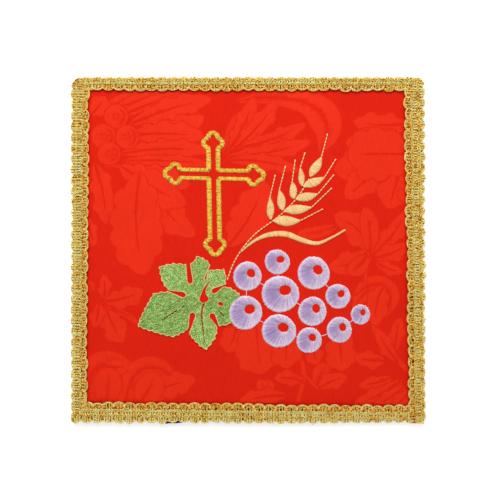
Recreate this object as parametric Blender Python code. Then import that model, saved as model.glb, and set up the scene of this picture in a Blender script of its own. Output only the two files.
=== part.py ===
"""A chalice pall: the small stiff square cover of a chalice, lying flat.

A face of red damask is embroidered with a budded cross, an ear of wheat, a vine leaf and a
bunch of grapes. Purple backing cloth lies under it and is turned over its edge as a hem, and a
scalloped gold braid is sewn over that hem on all four sides.

Metres, +Z up. +Y points to the head of the cross. The origin is the middle of the underside.
"""

import math

import bmesh
import bpy
from mathutils import Vector

MM = 0.001

# Driving dimensions
CLEARANCE = 0.3 * MM
SHEET = 1.0 * MM
FACE_RIM_THICKNESS = 1.2 * MM
FACE_THICKNESS = 2.0 * MM
BRAID_THICKNESS = 1.2 * MM
BRAID_WIDTH = 10.0 * MM
STITCH_THICKNESS = 0.7 * MM

# Heights of the layers, from the table up
FACE_Z = SHEET + CLEARANCE
FACE_TOP_Z = FACE_Z + FACE_THICKNESS
HEM_Z = FACE_Z + FACE_RIM_THICKNESS + CLEARANCE
HEM_TOP_Z = HEM_Z + SHEET
BRAID_Z = HEM_TOP_Z + CLEARANCE
STITCH_Z = FACE_TOP_Z + CLEARANCE

# The pall is sewn by hand, so nothing is quite square. The tips of the braid's outer scallops
# run between the first corners and those of its inner scallops between the second. The backing
# ends between the third, and its hem, turned over the front, between the last
CORNER_ORDER = ("top_left", "top_right", "bottom_right", "bottom_left")
BRAID_CORNERS = {
    "top_left": Vector((-85.6, 83.9)) * MM,
    "top_right": Vector((85.3, 83.9)) * MM,
    "bottom_right": Vector((86.0, -83.6)) * MM,
    "bottom_left": Vector((-85.9, -83.5)) * MM,
}
WINDOW_CORNERS = {
    "top_left": Vector((-76.5, 76.8)) * MM,
    "top_right": Vector((75.1, 76.7)) * MM,
    "bottom_right": Vector((77.4, -74.9)) * MM,
    "bottom_left": Vector((-77.7, -73.2)) * MM,
}
BACKING_CORNERS = {
    "top_left": Vector((-82.3, 81.2)) * MM,
    "top_right": Vector((83.4, 81.2)) * MM,
    "bottom_right": Vector((83.35, -81.05)) * MM,
    "bottom_left": Vector((-83.2, -82.15)) * MM,
}
HEM_CORNERS = {
    "top_left": Vector((-77.9, 78.1)) * MM,
    "top_right": Vector((76.5, 78.0)) * MM,
    "bottom_right": Vector((78.8, -76.2)) * MM,
    "bottom_left": Vector((-79.1, -74.5)) * MM,
}

# How round each corner is, over the edge of the cloth and over the braid folded round it
CLOTH_RADII = {"top_left": 5.5, "top_right": 4.5, "bottom_right": 1.5, "bottom_left": 1.5}
BRAID_RADII = {"top_left": 7.5, "top_right": 6.0}
INNER_RADIUS = 1.0 * MM
POINTS_PER_CORNER = 7
TRIM_TURNS = (-25, 0, 25)

# The step up from under the hem to the stiffened field of the face
STEP_GAP = 0.4 * MM
STEP_SLOPE = 1.4 * MM
FOLD_BEVEL = 0.35 * MM

# The braid's scallops, its two raised chain lines, and how it rolls over the edge
SCALLOP_PITCH = 5.2 * MM
STATIONS_PER_SCALLOP = 4
INNER_SCALLOP_DEPTH = 1.3 * MM
OUTER_SCALLOP_DEPTH = 1.0 * MM
CHAIN_LINES = (3.0 * MM, 7.0 * MM)
BRAID_MIDDLE = 5.0 * MM
MIDDLE_HEIGHT = 0.95 * MM
EDGE_HEIGHT = 0.7 * MM
ROLL_INNER_RADIUS = 0.6 * MM
ROLL_MIDDLE_RADIUS = 1.2 * MM
ROLL_HEIGHT = 1.0 * MM
ROLLED_DROP = 2.1 * MM
ROLLED_PLAN_WIDTH = 7.7 * MM
ROLL_ROWS = (8.0 * MM, 8.4 * MM, 8.6 * MM)
PUCKER = 0.9 * MM
BUTT_GAP = 0.35 * MM


def linear(red, green, blue):
    """Base colour for a Principled BSDF from display values of 0 to 255."""
    return tuple((channel / 255) ** 2.2 for channel in (red, green, blue)) + (1.0,)


def cloth_material(name, colour, roughness, metallic=0.0):
    """A Principled BSDF in one colour."""
    material = bpy.data.materials.new(name)
    material.use_nodes = True
    shader = material.node_tree.nodes["Principled BSDF"]
    shader.inputs["Base Color"].default_value = colour
    shader.inputs["Roughness"].default_value = roughness
    shader.inputs["Metallic"].default_value = metallic
    return material


def clear_scene():
    """Removes whatever the file holds."""
    for item in list(bpy.data.objects):
        bpy.data.objects.remove(item)


def object_from(name, skin, material, smooth_angle=40):
    """Turns a finished BMesh into a named object with its faces pointing out."""
    bmesh.ops.recalc_face_normals(skin, faces=skin.faces[:])
    mesh = bpy.data.meshes.new(name)
    skin.to_mesh(mesh)
    skin.free()
    mesh.shade_smooth()
    mesh.set_sharp_from_angle(angle=math.radians(smooth_angle))
    mesh.materials.append(material)
    item = bpy.data.objects.new(name, mesh)
    bpy.context.scene.collection.objects.link(item)
    return item


def loft(loops, closed_tube=False):
    """A BMesh skin over loops of equal count: capped at its ends, or joined into a ring."""
    skin = bmesh.new()
    rows = [[skin.verts.new(point) for point in loop] for loop in loops]
    pairs = list(zip(rows, rows[1:]))
    if closed_tube:
        pairs.append((rows[-1], rows[0]))
    for first, second in pairs:
        for i in range(len(first)):
            j = (i + 1) % len(first)
            skin.faces.new((first[i], first[j], second[j], second[i]))
    if not closed_tube:
        skin.faces.new(rows[0])
        skin.faces.new(rows[-1])
    return skin


def at_height(outline, z):
    """A flat outline lifted to one height."""
    return [Vector((point.x, point.y, z)) for point in outline]


def turned(vector, degrees):
    """A direction in the plane turned anticlockwise."""
    angle = math.radians(degrees)
    cosine, sine = math.cos(angle), math.sin(angle)
    return Vector((vector.x * cosine - vector.y * sine, vector.x * sine + vector.y * cosine))


def line_crossing(point_a, along_a, point_b, along_b):
    """Where two lines in the plane cross."""
    across = along_a.x * along_b.y - along_a.y * along_b.x
    offset = point_b - point_a
    distance = (offset.x * along_b.y - offset.y * along_b.x) / across
    return point_a + along_a * distance


def inward_normal(along):
    """The side of a clockwise edge that the cloth lies on."""
    return Vector((along.y, -along.x))


def inset_corners(corners, inset):
    """A quadrilateral's corners with every edge moved inward."""
    places = [corners[name] for name in CORNER_ORDER]
    edges = []
    for i, start in enumerate(places):
        along = (places[(i + 1) % 4] - start).normalized()
        edges.append((start + inward_normal(along) * inset, along))
    return [line_crossing(*edges[i - 1], *edges[i]) for i in range(4)]


def rounded_outline(corners, inset, radii):
    """The inset quadrilateral with its corners rounded off, clockwise."""
    places = inset_corners(corners, inset)
    outline = []
    for i, corner in enumerate(places):
        radius = radii[i]
        before = (places[i - 1] - corner).normalized()
        after = (places[(i + 1) % 4] - corner).normalized()
        half_angle = before.angle(after) / 2
        centre = corner + (before + after).normalized() * radius / math.sin(half_angle)
        start = corner + before * radius / math.tan(half_angle) - centre
        turn = math.degrees(math.pi - 2 * half_angle)
        for k in range(POINTS_PER_CORNER):
            outline.append(centre + turned(start, -turn * k / (POINTS_PER_CORNER - 1)))
    return outline


def edge_outline(inset):
    """Inside the backing's edge: its corners get sharper as the outline moves in."""
    radii = [max(CLOTH_RADII[name] * MM - inset, INNER_RADIUS / 2) for name in CORNER_ORDER]
    return rounded_outline(BACKING_CORNERS, inset, radii)


def hem_outline(inset):
    """Inside the edge of the turned hem."""
    return rounded_outline(HEM_CORNERS, inset, [INNER_RADIUS] * 4)


def make_backing(material):
    """The purple cloth: flat under the face, folded up round its edge and over as a hem."""
    loops = (
        at_height(edge_outline(FOLD_BEVEL), 0.0),
        at_height(edge_outline(0.0), FOLD_BEVEL),
        at_height(edge_outline(0.0), HEM_TOP_Z - FOLD_BEVEL),
        at_height(edge_outline(FOLD_BEVEL), HEM_TOP_Z),
        at_height(hem_outline(0.0), HEM_TOP_Z),
        at_height(hem_outline(0.0), HEM_Z),
        at_height(edge_outline(SHEET), HEM_Z),
        at_height(edge_outline(SHEET), SHEET),
    )
    return object_from("backing_cloth", loft(loops), material)


def make_face(material):
    """The damask panel: thin under the hem, and stiffened inside it so that its field rises."""
    loops = (
        at_height(edge_outline(SHEET + CLEARANCE), FACE_Z),
        at_height(edge_outline(SHEET + CLEARANCE), FACE_Z + FACE_RIM_THICKNESS),
        at_height(hem_outline(STEP_GAP), FACE_Z + FACE_RIM_THICKNESS),
        at_height(hem_outline(STEP_GAP + STEP_SLOPE), FACE_TOP_Z),
    )
    return object_from("damask_face", loft(loops), material, smooth_angle=20)


def scallop(distance):
    """0 at the tip of a scallop and 1 in the notch between two, along the braid."""
    phase = (distance / SCALLOP_PITCH) % 1.0
    return 1.0 - math.sin(math.pi * phase)


class BraidSide:
    """One side's length of braid, with its places given along and across it."""

    def __init__(self, first, last):
        self.start = BRAID_CORNERS[first]
        self.along = (BRAID_CORNERS[last] - self.start).normalized()
        self.inward = inward_normal(self.along)
        self.length = (BRAID_CORNERS[last] - self.start).length
        self.window = WINDOW_CORNERS[first]
        self.window_along = (WINDOW_CORNERS[last] - self.window).normalized()

    def plan_width(self, u):
        """From the outer scallops' tips to the inner ones' tips, seen from above."""
        outer = self.start + self.along * u
        inner = line_crossing(outer, self.inward, self.window, self.window_along)
        return (inner - outer).length

    def roll(self, u):
        """The flat width, the angle rolled over the edge and the drop past it."""
        width = self.plan_width(u)
        share = (BRAID_WIDTH - width) / (BRAID_WIDTH - ROLLED_PLAN_WIDTH)
        angle = math.pi / 2 * min(max(share, 0.0), 1.0)
        drop = ROLLED_DROP * angle / (math.pi / 2)
        reach = (ROLL_INNER_RADIUS + ROLL_HEIGHT) * math.sin(angle) + drop * math.cos(angle)
        return width - reach, angle, drop

    def point(self, u, t, height):
        """A place u along the side, t from the inner tips and height above the underside."""
        flat, angle, _ = self.roll(u)
        bent = min(max(t - flat, 0.0) / ROLL_MIDDLE_RADIUS, angle)
        straight = max(t - flat - ROLL_MIDDLE_RADIUS * angle, 0.0)
        radius = ROLL_INNER_RADIUS + height
        outward = min(t, flat) + radius * math.sin(bent) + straight * math.cos(bent)
        outward -= PUCKER * scallop(u) * (1 - math.cos(bent))
        z = BRAID_Z - ROLL_INNER_RADIUS + radius * math.cos(bent) - straight * math.sin(bent)
        plan = self.start + self.along * u + self.inward * (self.plan_width(u) - outward)
        return Vector((plan.x, plan.y, z))

    def developed(self, u):
        """The braid's width along its own surface."""
        flat, angle, drop = self.roll(u)
        return flat + ROLL_MIDDLE_RADIUS * angle + drop

    def section(self, u):
        """The braid cut across: the top from inside to outside, then back underneath."""
        inner = INNER_SCALLOP_DEPTH * scallop(u)
        outer = self.developed(u) - OUTER_SCALLOP_DEPTH * scallop(u)
        top = (
            (inner, EDGE_HEIGHT),
            (CHAIN_LINES[0], BRAID_THICKNESS),
            (BRAID_MIDDLE, MIDDLE_HEIGHT),
            (CHAIN_LINES[1], BRAID_THICKNESS),
            (ROLL_ROWS[2], ROLL_HEIGHT),
            (outer, EDGE_HEIGHT),
        )
        turns_at = min(ROLL_ROWS[0], self.roll(u)[0])
        under = ((outer, 0.0), (ROLL_ROWS[1], 0.0), (turns_at, 0.0), (inner, 0.0))
        return [self.point(u, t, height) for t, height in top + under]


def cut_off(skin, place, outward):
    """Cuts a solid by an upright plane, drops what lies outward of it and closes the cut."""
    cut = bmesh.ops.bisect_plane(
        skin,
        geom=skin.verts[:] + skin.edges[:] + skin.faces[:],
        dist=1e-7,
        plane_co=Vector((place.x, place.y, 0.0)),
        plane_no=Vector((outward.x, outward.y, 0.0)),
        clear_outer=True,
    )
    edges = [item for item in cut["geom_cut"] if isinstance(item, bmesh.types.BMEdge)]
    if edges:
        bmesh.ops.holes_fill(skin, edges=edges, sides=0)


def mitre_plane(corner, along):
    """A place and an outward direction for the mitre at a corner, for the side running along."""
    outer, window = BRAID_CORNERS[corner], WINDOW_CORNERS[corner]
    diagonal = (window - outer).normalized()
    outward = Vector((diagonal.y, -diagonal.x))
    if outward.dot(along) < 0:
        outward = -outward
    return outer - outward * CLEARANCE / 2, outward


def round_corner(skin, corner):
    """Takes the sharp point off a corner with planes that touch its arc."""
    radius = BRAID_RADII[corner] * MM
    outward = (BRAID_CORNERS[corner] - WINDOW_CORNERS[corner]).normalized()
    centre = BRAID_CORNERS[corner] - outward * radius * math.sqrt(2)
    for turn in TRIM_TURNS:
        side = turned(outward, turn)
        cut_off(skin, centre + side * radius, side)


def make_braid(name, first, last, material):
    """One side of the braid. Its ends are mitred, but at the bottom right the side's end runs
    right through and the bottom length butts against it, where the two ends of the braid meet."""
    side = BraidSide(first, last)
    overrun = 0.6 * SCALLOP_PITCH
    count = round((side.length + 2 * overrun) / SCALLOP_PITCH * STATIONS_PER_SCALLOP)
    step = SCALLOP_PITCH / STATIONS_PER_SCALLOP
    begin = (side.length - count * step) / 2
    skin = loft([side.section(begin + i * step) for i in range(count + 1)])
    for corner, along in ((first, -side.along), (last, side.along)):
        if corner != "bottom_right":
            cut_off(skin, *mitre_plane(corner, along))
        elif first == "top_right":
            cut_off(skin, BRAID_CORNERS[corner], Vector((0.0, -1.0)))
        else:
            window, top = WINDOW_CORNERS["bottom_right"], WINDOW_CORNERS["top_right"]
            outward = inward_normal((top - window).normalized())
            cut_off(skin, window - outward * BUTT_GAP, outward)
        if corner in BRAID_RADII:
            round_corner(skin, corner)
    return object_from(name, skin, material, smooth_angle=35)


# The cross: a budded outline in satin stitch
CROSS_CENTRE = Vector((-16.6, 36.5)) * MM
CROSS_ARMS = {"right": 24.3 * MM, "top": 20.3 * MM, "left": 23.7 * MM, "bottom": 39.0 * MM}
CROSS_TURNS = {"right": 0, "top": 90, "left": 180, "bottom": 270}
CROSS_HALF_BEAM = {"upright": 2.3 * MM, "crossbar": 2.0 * MM}
CROSS_LEAN = 0.02
SATIN_WIDTH = 2.0 * MM

# Half of a bud, as distance back from the tip and distance from the arm's axis
BUD_HALF = (
    {"back": 7.4 * MM, "aside": 2.3 * MM},
    {"back": 7.0 * MM, "aside": 3.9 * MM},
    {"back": 5.3 * MM, "aside": 4.8 * MM},
    {"back": 3.6 * MM, "aside": 4.1 * MM},
    {"back": 2.7 * MM, "aside": 2.4 * MM},
    {"back": 0.7 * MM, "aside": 1.8 * MM},
)


def cross_outline():
    """The middle of the satin line, once round the cross, anticlockwise from the right arm."""
    outline = []
    for arm, degrees in CROSS_TURNS.items():
        along = turned(Vector((1.0, 0.0)), degrees)
        aside = turned(along, 90)
        length = CROSS_ARMS[arm]
        level = arm in ("right", "left")
        beam = CROSS_HALF_BEAM["crossbar" if level else "upright"]
        other = CROSS_HALF_BEAM["upright" if level else "crossbar"]
        lower = [along * other - aside * beam]
        for k, row in enumerate(BUD_HALF):
            half = beam if k == 0 else row["aside"]
            lower.append(along * (length - row["back"]) - aside * half)
        outline += lower
        outline.append(along * length)
        outline += [point - 2 * aside * point.dot(aside) for point in reversed(lower[1:])]
    leaned = []
    for point in outline:
        shift = Vector((-CROSS_LEAN * point.y, -CROSS_LEAN * point.x))
        leaned.append(CROSS_CENTRE + point + shift)
    return leaned


def offset_outline(outline, distance):
    """A closed anticlockwise outline moved outward, square at its corners."""
    moved = []
    count = len(outline)
    for i, point in enumerate(outline):
        before = (point - outline[i - 1]).normalized()
        after = (outline[(i + 1) % count] - point).normalized()
        outward = inward_normal((before + after).normalized())
        stretch = max(outward.dot(inward_normal(after)), 0.5)
        moved.append(point + outward * distance / stretch)
    return moved


def make_cross(material):
    """A raised satin line that follows the cross's outline."""
    outline = cross_outline()
    outer = offset_outline(outline, SATIN_WIDTH / 2)
    inner = offset_outline(outline, -SATIN_WIDTH / 2)
    edge = STITCH_Z + STITCH_THICKNESS * 0.5
    loops = (
        at_height(outer, STITCH_Z),
        at_height(outer, edge),
        at_height(outline, STITCH_Z + STITCH_THICKNESS),
        at_height(inner, edge),
        at_height(inner, STITCH_Z),
    )
    return object_from("cross", loft(loops, closed_tube=True), material, smooth_angle=60)


# The bunch of grapes lies on its side, in columns that thin out to its tip
GRAPES = (
    {"x": -0.3, "y": -12.7, "radius": 6.9},
    {"x": -1.3, "y": -30.3, "radius": 8.1},
    {"x": 14.1, "y": -5.8, "radius": 6.0},
    {"x": 15.6, "y": -21.3, "radius": 8.9},
    {"x": 14.9, "y": -39.1, "radius": 8.1},
    {"x": 31.7, "y": -11.2, "radius": 7.8},
    {"x": 31.1, "y": -29.7, "radius": 6.9},
    {"x": 29.5, "y": -43.6, "radius": 6.1},
    {"x": 43.4, "y": -22.4, "radius": 5.9},
    {"x": 44.1, "y": -38.6, "radius": 6.1},
    {"x": 54.3, "y": -31.2, "radius": 4.7},
)
EYE_SHARE = 0.28
EYE_OFFSET = Vector((0.26, 0.21))
GRAPE_SIDES = 20


def make_grape(number, row, material):
    """A grape: satin stitches run from its rim to an open eye that sits off its middle."""
    middle = Vector((row["x"], row["y"])) * MM
    radius = row["radius"] * MM
    eye = middle + EYE_OFFSET * radius
    rays = [turned(Vector((1.0, 0.0)), 360 * i / GRAPE_SIDES) for i in range(GRAPE_SIDES)]
    rim = [middle + ray * radius for ray in rays]
    hole = [eye + ray * radius * EYE_SHARE for ray in rays]
    loops = (
        at_height(rim, STITCH_Z),
        at_height(rim, STITCH_Z + STITCH_THICKNESS * 0.6),
        at_height(hole, STITCH_Z + STITCH_THICKNESS),
        at_height(hole, STITCH_Z),
    )
    return object_from(f"grape_{number}", loft(loops, closed_tube=True), material)


# The ear of wheat: a stalk, nine grains that each end in a long awn, and one leaf blade
STALK = ((-9.4, -13.0), (-6.9, -6.2), (-2.0, 1.6), (4.2, 8.4), (11.5, 13.7), (18.2, 19.2),
         (24.6, 26.4), (29.6, 34.4))
STALK_WIDTH = 0.9 * MM
GRAINS = (
    {"foot": (11.1, 14.9), "top": (10.5, 25.2), "awn": (13.2, 36.3), "width": 3.6},
    {"foot": (16.9, 19.3), "top": (15.1, 28.9), "awn": (18.1, 40.6), "width": 4.1},
    {"foot": (22.3, 24.7), "top": (21.3, 32.9), "awn": (22.8, 43.6), "width": 3.7},
    {"foot": (26.3, 31.0), "top": (25.2, 39.6), "awn": (27.5, 46.9), "width": 3.1},
    {"foot": (13.6, 13.6), "top": (25.3, 14.2), "awn": (36.2, 19.8), "width": 5.0},
    {"foot": (18.9, 18.0), "top": (30.7, 20.6), "awn": (40.5, 30.0), "width": 4.6},
    {"foot": (24.0, 23.7), "top": (33.7, 27.0), "awn": (41.5, 36.4), "width": 4.3},
    {"foot": (28.2, 30.0), "top": (36.9, 35.0), "awn": (42.4, 43.9), "width": 4.3},
    {"foot": (30.2, 35.4), "top": (35.5, 44.9), "awn": (38.4, 56.1), "width": 4.4},
)
GRAIN_SHARES = (0.0, 0.2, 0.45, 0.7, 0.9, 1.0)
AWN_WIDTH = 0.7 * MM
BLADE = (
    {"x": -0.3, "y": 1.6, "width": 0.8},
    {"x": 4.9, "y": 5.4, "width": 1.5},
    {"x": 11.0, "y": 7.5, "width": 2.3},
    {"x": 18.6, "y": 7.6, "width": 2.6},
    {"x": 26.0, "y": 4.8, "width": 2.3},
    {"x": 33.4, "y": 3.2, "width": 1.7},
    {"x": 40.4, "y": 6.0, "width": 1.0},
    {"x": 47.1, "y": 9.8, "width": 0.8},
)
SMOOTH_STEPS = 2


def smoothed(values):
    """Points on the even curve through the given ones, with SMOOTH_STEPS to each stretch."""
    last = len(values) - 1
    found = []
    for i in range(last):
        a, b, c, d = (values[min(max(k, 0), last)] for k in (i - 1, i, i + 1, i + 2))
        for step in range(SMOOTH_STEPS):
            s = step / SMOOTH_STEPS
            bend = (2 * a - 5 * b + 4 * c - d) * s * s
            found.append(b + 0.5 * ((c - a) * s + bend + (3 * b - a - 3 * c + d) * s**3))
    return found + [values[-1]]


def ribbon(points, widths):
    """The outline of a flat strip of changing width along a line."""
    left, right = [], []
    last = len(points) - 1
    for i, point in enumerate(points):
        along = (points[min(i + 1, last)] - points[max(i - 1, 0)]).normalized()
        aside = inward_normal(along) * widths[i] / 2
        left.append(point - aside)
        right.append(point + aside)
    return right + left[::-1]


def plate(name, outline, material):
    """A flat patch of stitching with the given outline."""
    loops = (at_height(outline, STITCH_Z), at_height(outline, STITCH_Z + STITCH_THICKNESS))
    return object_from(name, loft(loops), material)


def make_grain(number, row, material):
    """A pointed grain that runs out into its awn, in one outline."""
    foot, top, awn = (Vector(row[key]) * MM for key in ("foot", "top", "awn"))
    points = [foot.lerp(top, share) for share in GRAIN_SHARES]
    widths = [row["width"] * MM * math.sin(math.pi * share) ** 0.8 for share in GRAIN_SHARES]
    widths = [max(width, AWN_WIDTH) for width in widths]
    return plate(f"wheat_grain_{number}", ribbon(points + [awn], widths + [AWN_WIDTH]), material)


# The vine leaf: six lobes round the joint of its veins, anticlockwise from the lower right.
# Each has five corners and then a slot, by a turn in degrees and a reach in millimetres
LEAF_JOINT = Vector((-21.6, -25.7)) * MM
LEAF_LOBES = (
    {"first": (306, 13), "up": (329, 17), "tip": (14, 17.5), "down": (28, 14.5), "last": (39, 12.5),
     "slot": (52, 6.5), "gap": 2.0},
    {"first": (42, 14), "up": (48, 15.8), "tip": (58, 18.6), "down": (67, 16.5), "last": (81, 16),
     "slot": (86, 11), "gap": 0.9},
    {"first": (82, 18.4), "up": (85, 20), "tip": (97, 22.5), "down": (102, 20), "last": (108, 20),
     "slot": (124, 11), "gap": 2.3},
    {"first": (115, 20), "up": (128, 23.5), "tip": (140, 27), "down": (150, 22.5), "last": (159, 17.5),
     "slot": (156, 9), "gap": 1.9},
    {"first": (164, 18), "up": (170, 24), "tip": (199, 33), "down": (227, 21.5), "last": (239, 14),
     "slot": (222, 6.5), "gap": 2.1},
    {"first": (247, 16), "up": (260, 18.5), "tip": (273, 22), "down": (287, 17.5), "last": (300, 13),
     "slot": (307, 6), "gap": 2.1},
)
LOBE_CORNERS = ("first", "up", "tip", "down", "last")
FLANK_BOW = 0.07
TOOTH_PITCH = 3.0 * MM
TOOTH_HEIGHT = 0.6 * MM
TOOTH_RISES = ((0.0, 0.0), (0.35, 0.6), (0.75, 1.0))
SLOT_TURNS = (-90, -45, 0, 45, 90)
GRAPE_OVER_LEAF = 1


def leaf_place(turn_and_reach):
    """A place round the leaf's joint."""
    turn, reach = turn_and_reach
    return LEAF_JOINT + turned(Vector((reach * MM, 0.0)), turn)


def flank(start, end):
    """A lobe's bowed side from start up to but not including end, with teeth along it."""
    outward = inward_normal((end - start).normalized())
    length = (end - start).length
    teeth = max(round(length / TOOTH_PITCH), 1)
    edge = []
    for k in range(teeth):
        for share, rise in TOOTH_RISES:
            s = (k + share) / teeth
            out = 4 * s * (1 - s) * FLANK_BOW * length + rise * TOOTH_HEIGHT
            edge.append(start.lerp(end, s) + outward * out)
    return edge


def slot_end(row, mouth):
    """The round end of the slot after a lobe, anticlockwise round the leaf."""
    end = leaf_place(row["slot"])
    inward = (end - mouth).normalized() * row["gap"] / 2 * MM
    return [end - inward + turned(inward, -turn) for turn in SLOT_TURNS]


def leaf_outline():
    """Round the leaf anticlockwise: up each lobe, down it, and round the slot's end."""
    outline = []
    for row, following in zip(LEAF_LOBES, LEAF_LOBES[1:] + LEAF_LOBES[:1]):
        corners = [leaf_place(row[key]) for key in LOBE_CORNERS]
        for start, end in zip(corners, corners[1:]):
            outline += flank(start, end)
        outline.append(corners[-1])
        outline += slot_end(row, (corners[-1] + leaf_place(following["first"])) / 2)
    return outline


def clear_of_grape(outline):
    """The grape is sewn over the leaf's edge, so the leaf's solid stops short of it."""
    row = GRAPES[GRAPE_OVER_LEAF]
    middle = Vector((row["x"], row["y"])) * MM
    reach = row["radius"] * MM + 2 * CLEARANCE
    moved = []
    for point in outline:
        away = point - middle
        if away.length < reach:
            point = middle + away.normalized() * reach
        moved.append(point)
    return moved


def build():
    """Makes every piece."""
    clear_scene()
    red = cloth_material("red_damask", linear(225, 38, 22), 0.55)
    purple = cloth_material("purple_backing", linear(74, 34, 104), 0.7)
    gold = cloth_material("gold_braid", linear(214, 176, 74), 0.35, 0.8)
    yellow = cloth_material("yellow_thread", linear(240, 202, 52), 0.4)
    straw = cloth_material("straw_thread", linear(248, 204, 134), 0.4)
    green = cloth_material("green_thread", linear(136, 180, 92), 0.5)
    lilac = cloth_material("lilac_thread", linear(192, 168, 208), 0.4)

    make_backing(purple)
    make_face(red)
    make_braid("braid_top", "top_left", "top_right", gold)
    make_braid("braid_right", "top_right", "bottom_right", gold)
    make_braid("braid_bottom", "bottom_right", "bottom_left", gold)
    make_braid("braid_left", "bottom_left", "top_left", gold)

    make_cross(yellow)
    for number, row in enumerate(GRAPES, start=1):
        make_grape(number, row, lilac)
    for number, row in enumerate(GRAINS, start=1):
        make_grain(number, row, straw)
    stalk = smoothed([Vector(point) * MM for point in STALK])
    plate("wheat_stalk", ribbon(stalk, [STALK_WIDTH] * len(stalk)), straw)
    blade = smoothed([Vector((row["x"], row["y"])) * MM for row in BLADE])
    blade_widths = smoothed([row["width"] * MM for row in BLADE])
    plate("wheat_blade", ribbon(blade, blade_widths), straw)
    plate("vine_leaf", clear_of_grape(leaf_outline()), green)


build()
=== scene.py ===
"""The looks of a chalice pall: red damask, purple backing, gold braid and machine embroidery.

Metres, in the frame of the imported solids: +Z up, and +Y to the head of the cross. Sizes in the
tables are in millimetres. The sections follow the pall as it is put together.
"""

import math
import random

import bmesh
import bpy
import numpy as np
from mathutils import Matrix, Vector
from mathutils.geometry import delaunay_2d_cdt


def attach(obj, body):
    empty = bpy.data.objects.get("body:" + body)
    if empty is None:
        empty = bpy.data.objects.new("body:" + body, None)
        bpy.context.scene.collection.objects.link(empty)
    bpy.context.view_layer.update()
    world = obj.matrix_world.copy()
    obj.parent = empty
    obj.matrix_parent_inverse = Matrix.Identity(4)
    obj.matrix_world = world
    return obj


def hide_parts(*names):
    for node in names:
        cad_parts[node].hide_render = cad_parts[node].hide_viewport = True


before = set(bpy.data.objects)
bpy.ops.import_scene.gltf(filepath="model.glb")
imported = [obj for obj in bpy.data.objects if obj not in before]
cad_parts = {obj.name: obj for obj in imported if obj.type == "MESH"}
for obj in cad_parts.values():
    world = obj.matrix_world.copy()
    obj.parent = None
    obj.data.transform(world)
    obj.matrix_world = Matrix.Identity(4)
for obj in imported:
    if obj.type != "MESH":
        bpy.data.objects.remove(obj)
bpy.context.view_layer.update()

# Backing: one square of thin dark purple cotton that lies under the face. Its margin is folded
# up round the face's edge and over the front as a hem, which the braid covers. The hem is raw
# and uneven, and in a few places the cloth peeps out past the braid
MM = 0.001
BACKING_CORNERS = ((-82.3, 81.2), (83.4, 81.2), (83.35, -81.05), (-83.2, -82.15))
BACKING_RADII = (5.5, 4.5, 1.5, 1.5)
BACKING_UNDERSIDE = 0.1
BACKING_THICKNESS = 0.5
CORNER_SEGMENTS = 6
LONG_EDGE = 20.0
MARGIN_CUTS = 60
HEM_CORNERS = ((-77.9, 78.1), (76.5, 78.0), (78.8, -76.2), (-79.1, -74.5))
HEM_LOWER_EDGE = 0.35
HEM_BULGE = 1.9
HEM_UPPER_EDGE = 3.35
HEM_TOP = 3.7
HEM_BULGE_WANDER = 0.15
HEM_RAW_WANDER = 0.2
FACE_SPAN = (166.0, 163.0)
PEEP_RADIUS = 1.5
PEEP_HALF_HEIGHT = 1.6
NEAR_CORNER = 72.0
WEAVE_TURNS_PER_M = 2200 * math.pi


def table(columns, *rows):
    """Rows of values, each under its column's name."""
    return [dict(zip(columns.split(), row)) for row in rows]


PEEPS = table(
    "x y reach spread",
    (-83.6, -83.2, 1.6, 2.2),
    (-39.5, -83.4, 1.9, 1.3),
    (-33.7, -83.4, 1.8, 1.3),
    (-8.0, -83.2, 1.2, 1.2),
    (85.6, 73.0, 1.7, 1.6),
    (85.4, 46.0, 1.4, 1.3),
    (-84.6, 12.0, 1.0, 1.2),
)


def linear(red, green, blue):
    """A colour for a shader from display values of 0 to 255."""
    return tuple((channel / 255) ** 2.2 for channel in (red, green, blue)) + (1.0,)


def start_with(add_primitive, name, **settings):
    """Adds one primitive with nothing else selected, and names it."""
    bpy.ops.object.select_all(action="DESELECT")
    add_primitive(**settings)
    piece = bpy.context.object
    piece.name = name
    piece.data.name = name
    return piece


def rounded_panel(name, corners, radii, z, segments):
    """A flat panel with these corners, clockwise from the top left, each bevelled round."""
    panel = start_with(bpy.ops.mesh.primitive_plane_add, name, size=1.0)
    top_left, top_right, bottom_right, bottom_left = corners
    for vertex, place in zip(panel.data.vertices, (bottom_left, bottom_right, top_left, top_right)):
        vertex.co = Vector((place[0], place[1], z)) * MM
    for place, radius in zip(corners, radii):
        corner = Vector((place[0], place[1], z)) * MM
        for vertex in panel.data.vertices:
            vertex.select = (vertex.co - corner).length < 1e-5
        bpy.ops.object.mode_set(mode="EDIT")
        bpy.ops.mesh.select_mode(type="VERT")
        bpy.ops.mesh.bevel(offset=radius * MM, affect="VERTICES", segments=segments)
        bpy.ops.mesh.select_all(action="DESELECT")
        bpy.ops.object.mode_set(mode="OBJECT")
    return panel


def between_corners(place, corners):
    """A vector blended from one at each corner of the pall, by where a place lies on it."""
    right = min(max(place.x / (FACE_SPAN[0] * MM) + 0.5, 0.0), 1.0)
    up = min(max(place.y / (FACE_SPAN[1] * MM) + 0.5, 0.0), 1.0)
    top_left, top_right, bottom_right, bottom_left = corners
    return top_left.lerp(top_right, right) * up + bottom_left.lerp(bottom_right, right) * (1 - up)


def off_the_rim(x, y):
    """The way out from a place on the rim: square to its side, or slanting near a corner."""
    if min(abs(x), abs(y)) > NEAR_CORNER:
        return Vector((x, y, 0.0)).normalized()
    if abs(y) > abs(x):
        return Vector((0.0, math.copysign(1, y), 0.0))
    return Vector((math.copysign(1, x), 0.0, 0.0))


def add_node(tree, kind, inputs=None, **settings):
    """A new node, its properties set, and each named input given a value or a link."""
    node = tree.nodes.new(kind)
    for key, value in settings.items():
        setattr(node, key, value)
    for key, value in (inputs or {}).items():
        if isinstance(value, bpy.types.NodeSocket):
            tree.links.new(value, node.inputs[key])
        else:
            node.inputs[key].default_value = value
    return node


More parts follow.
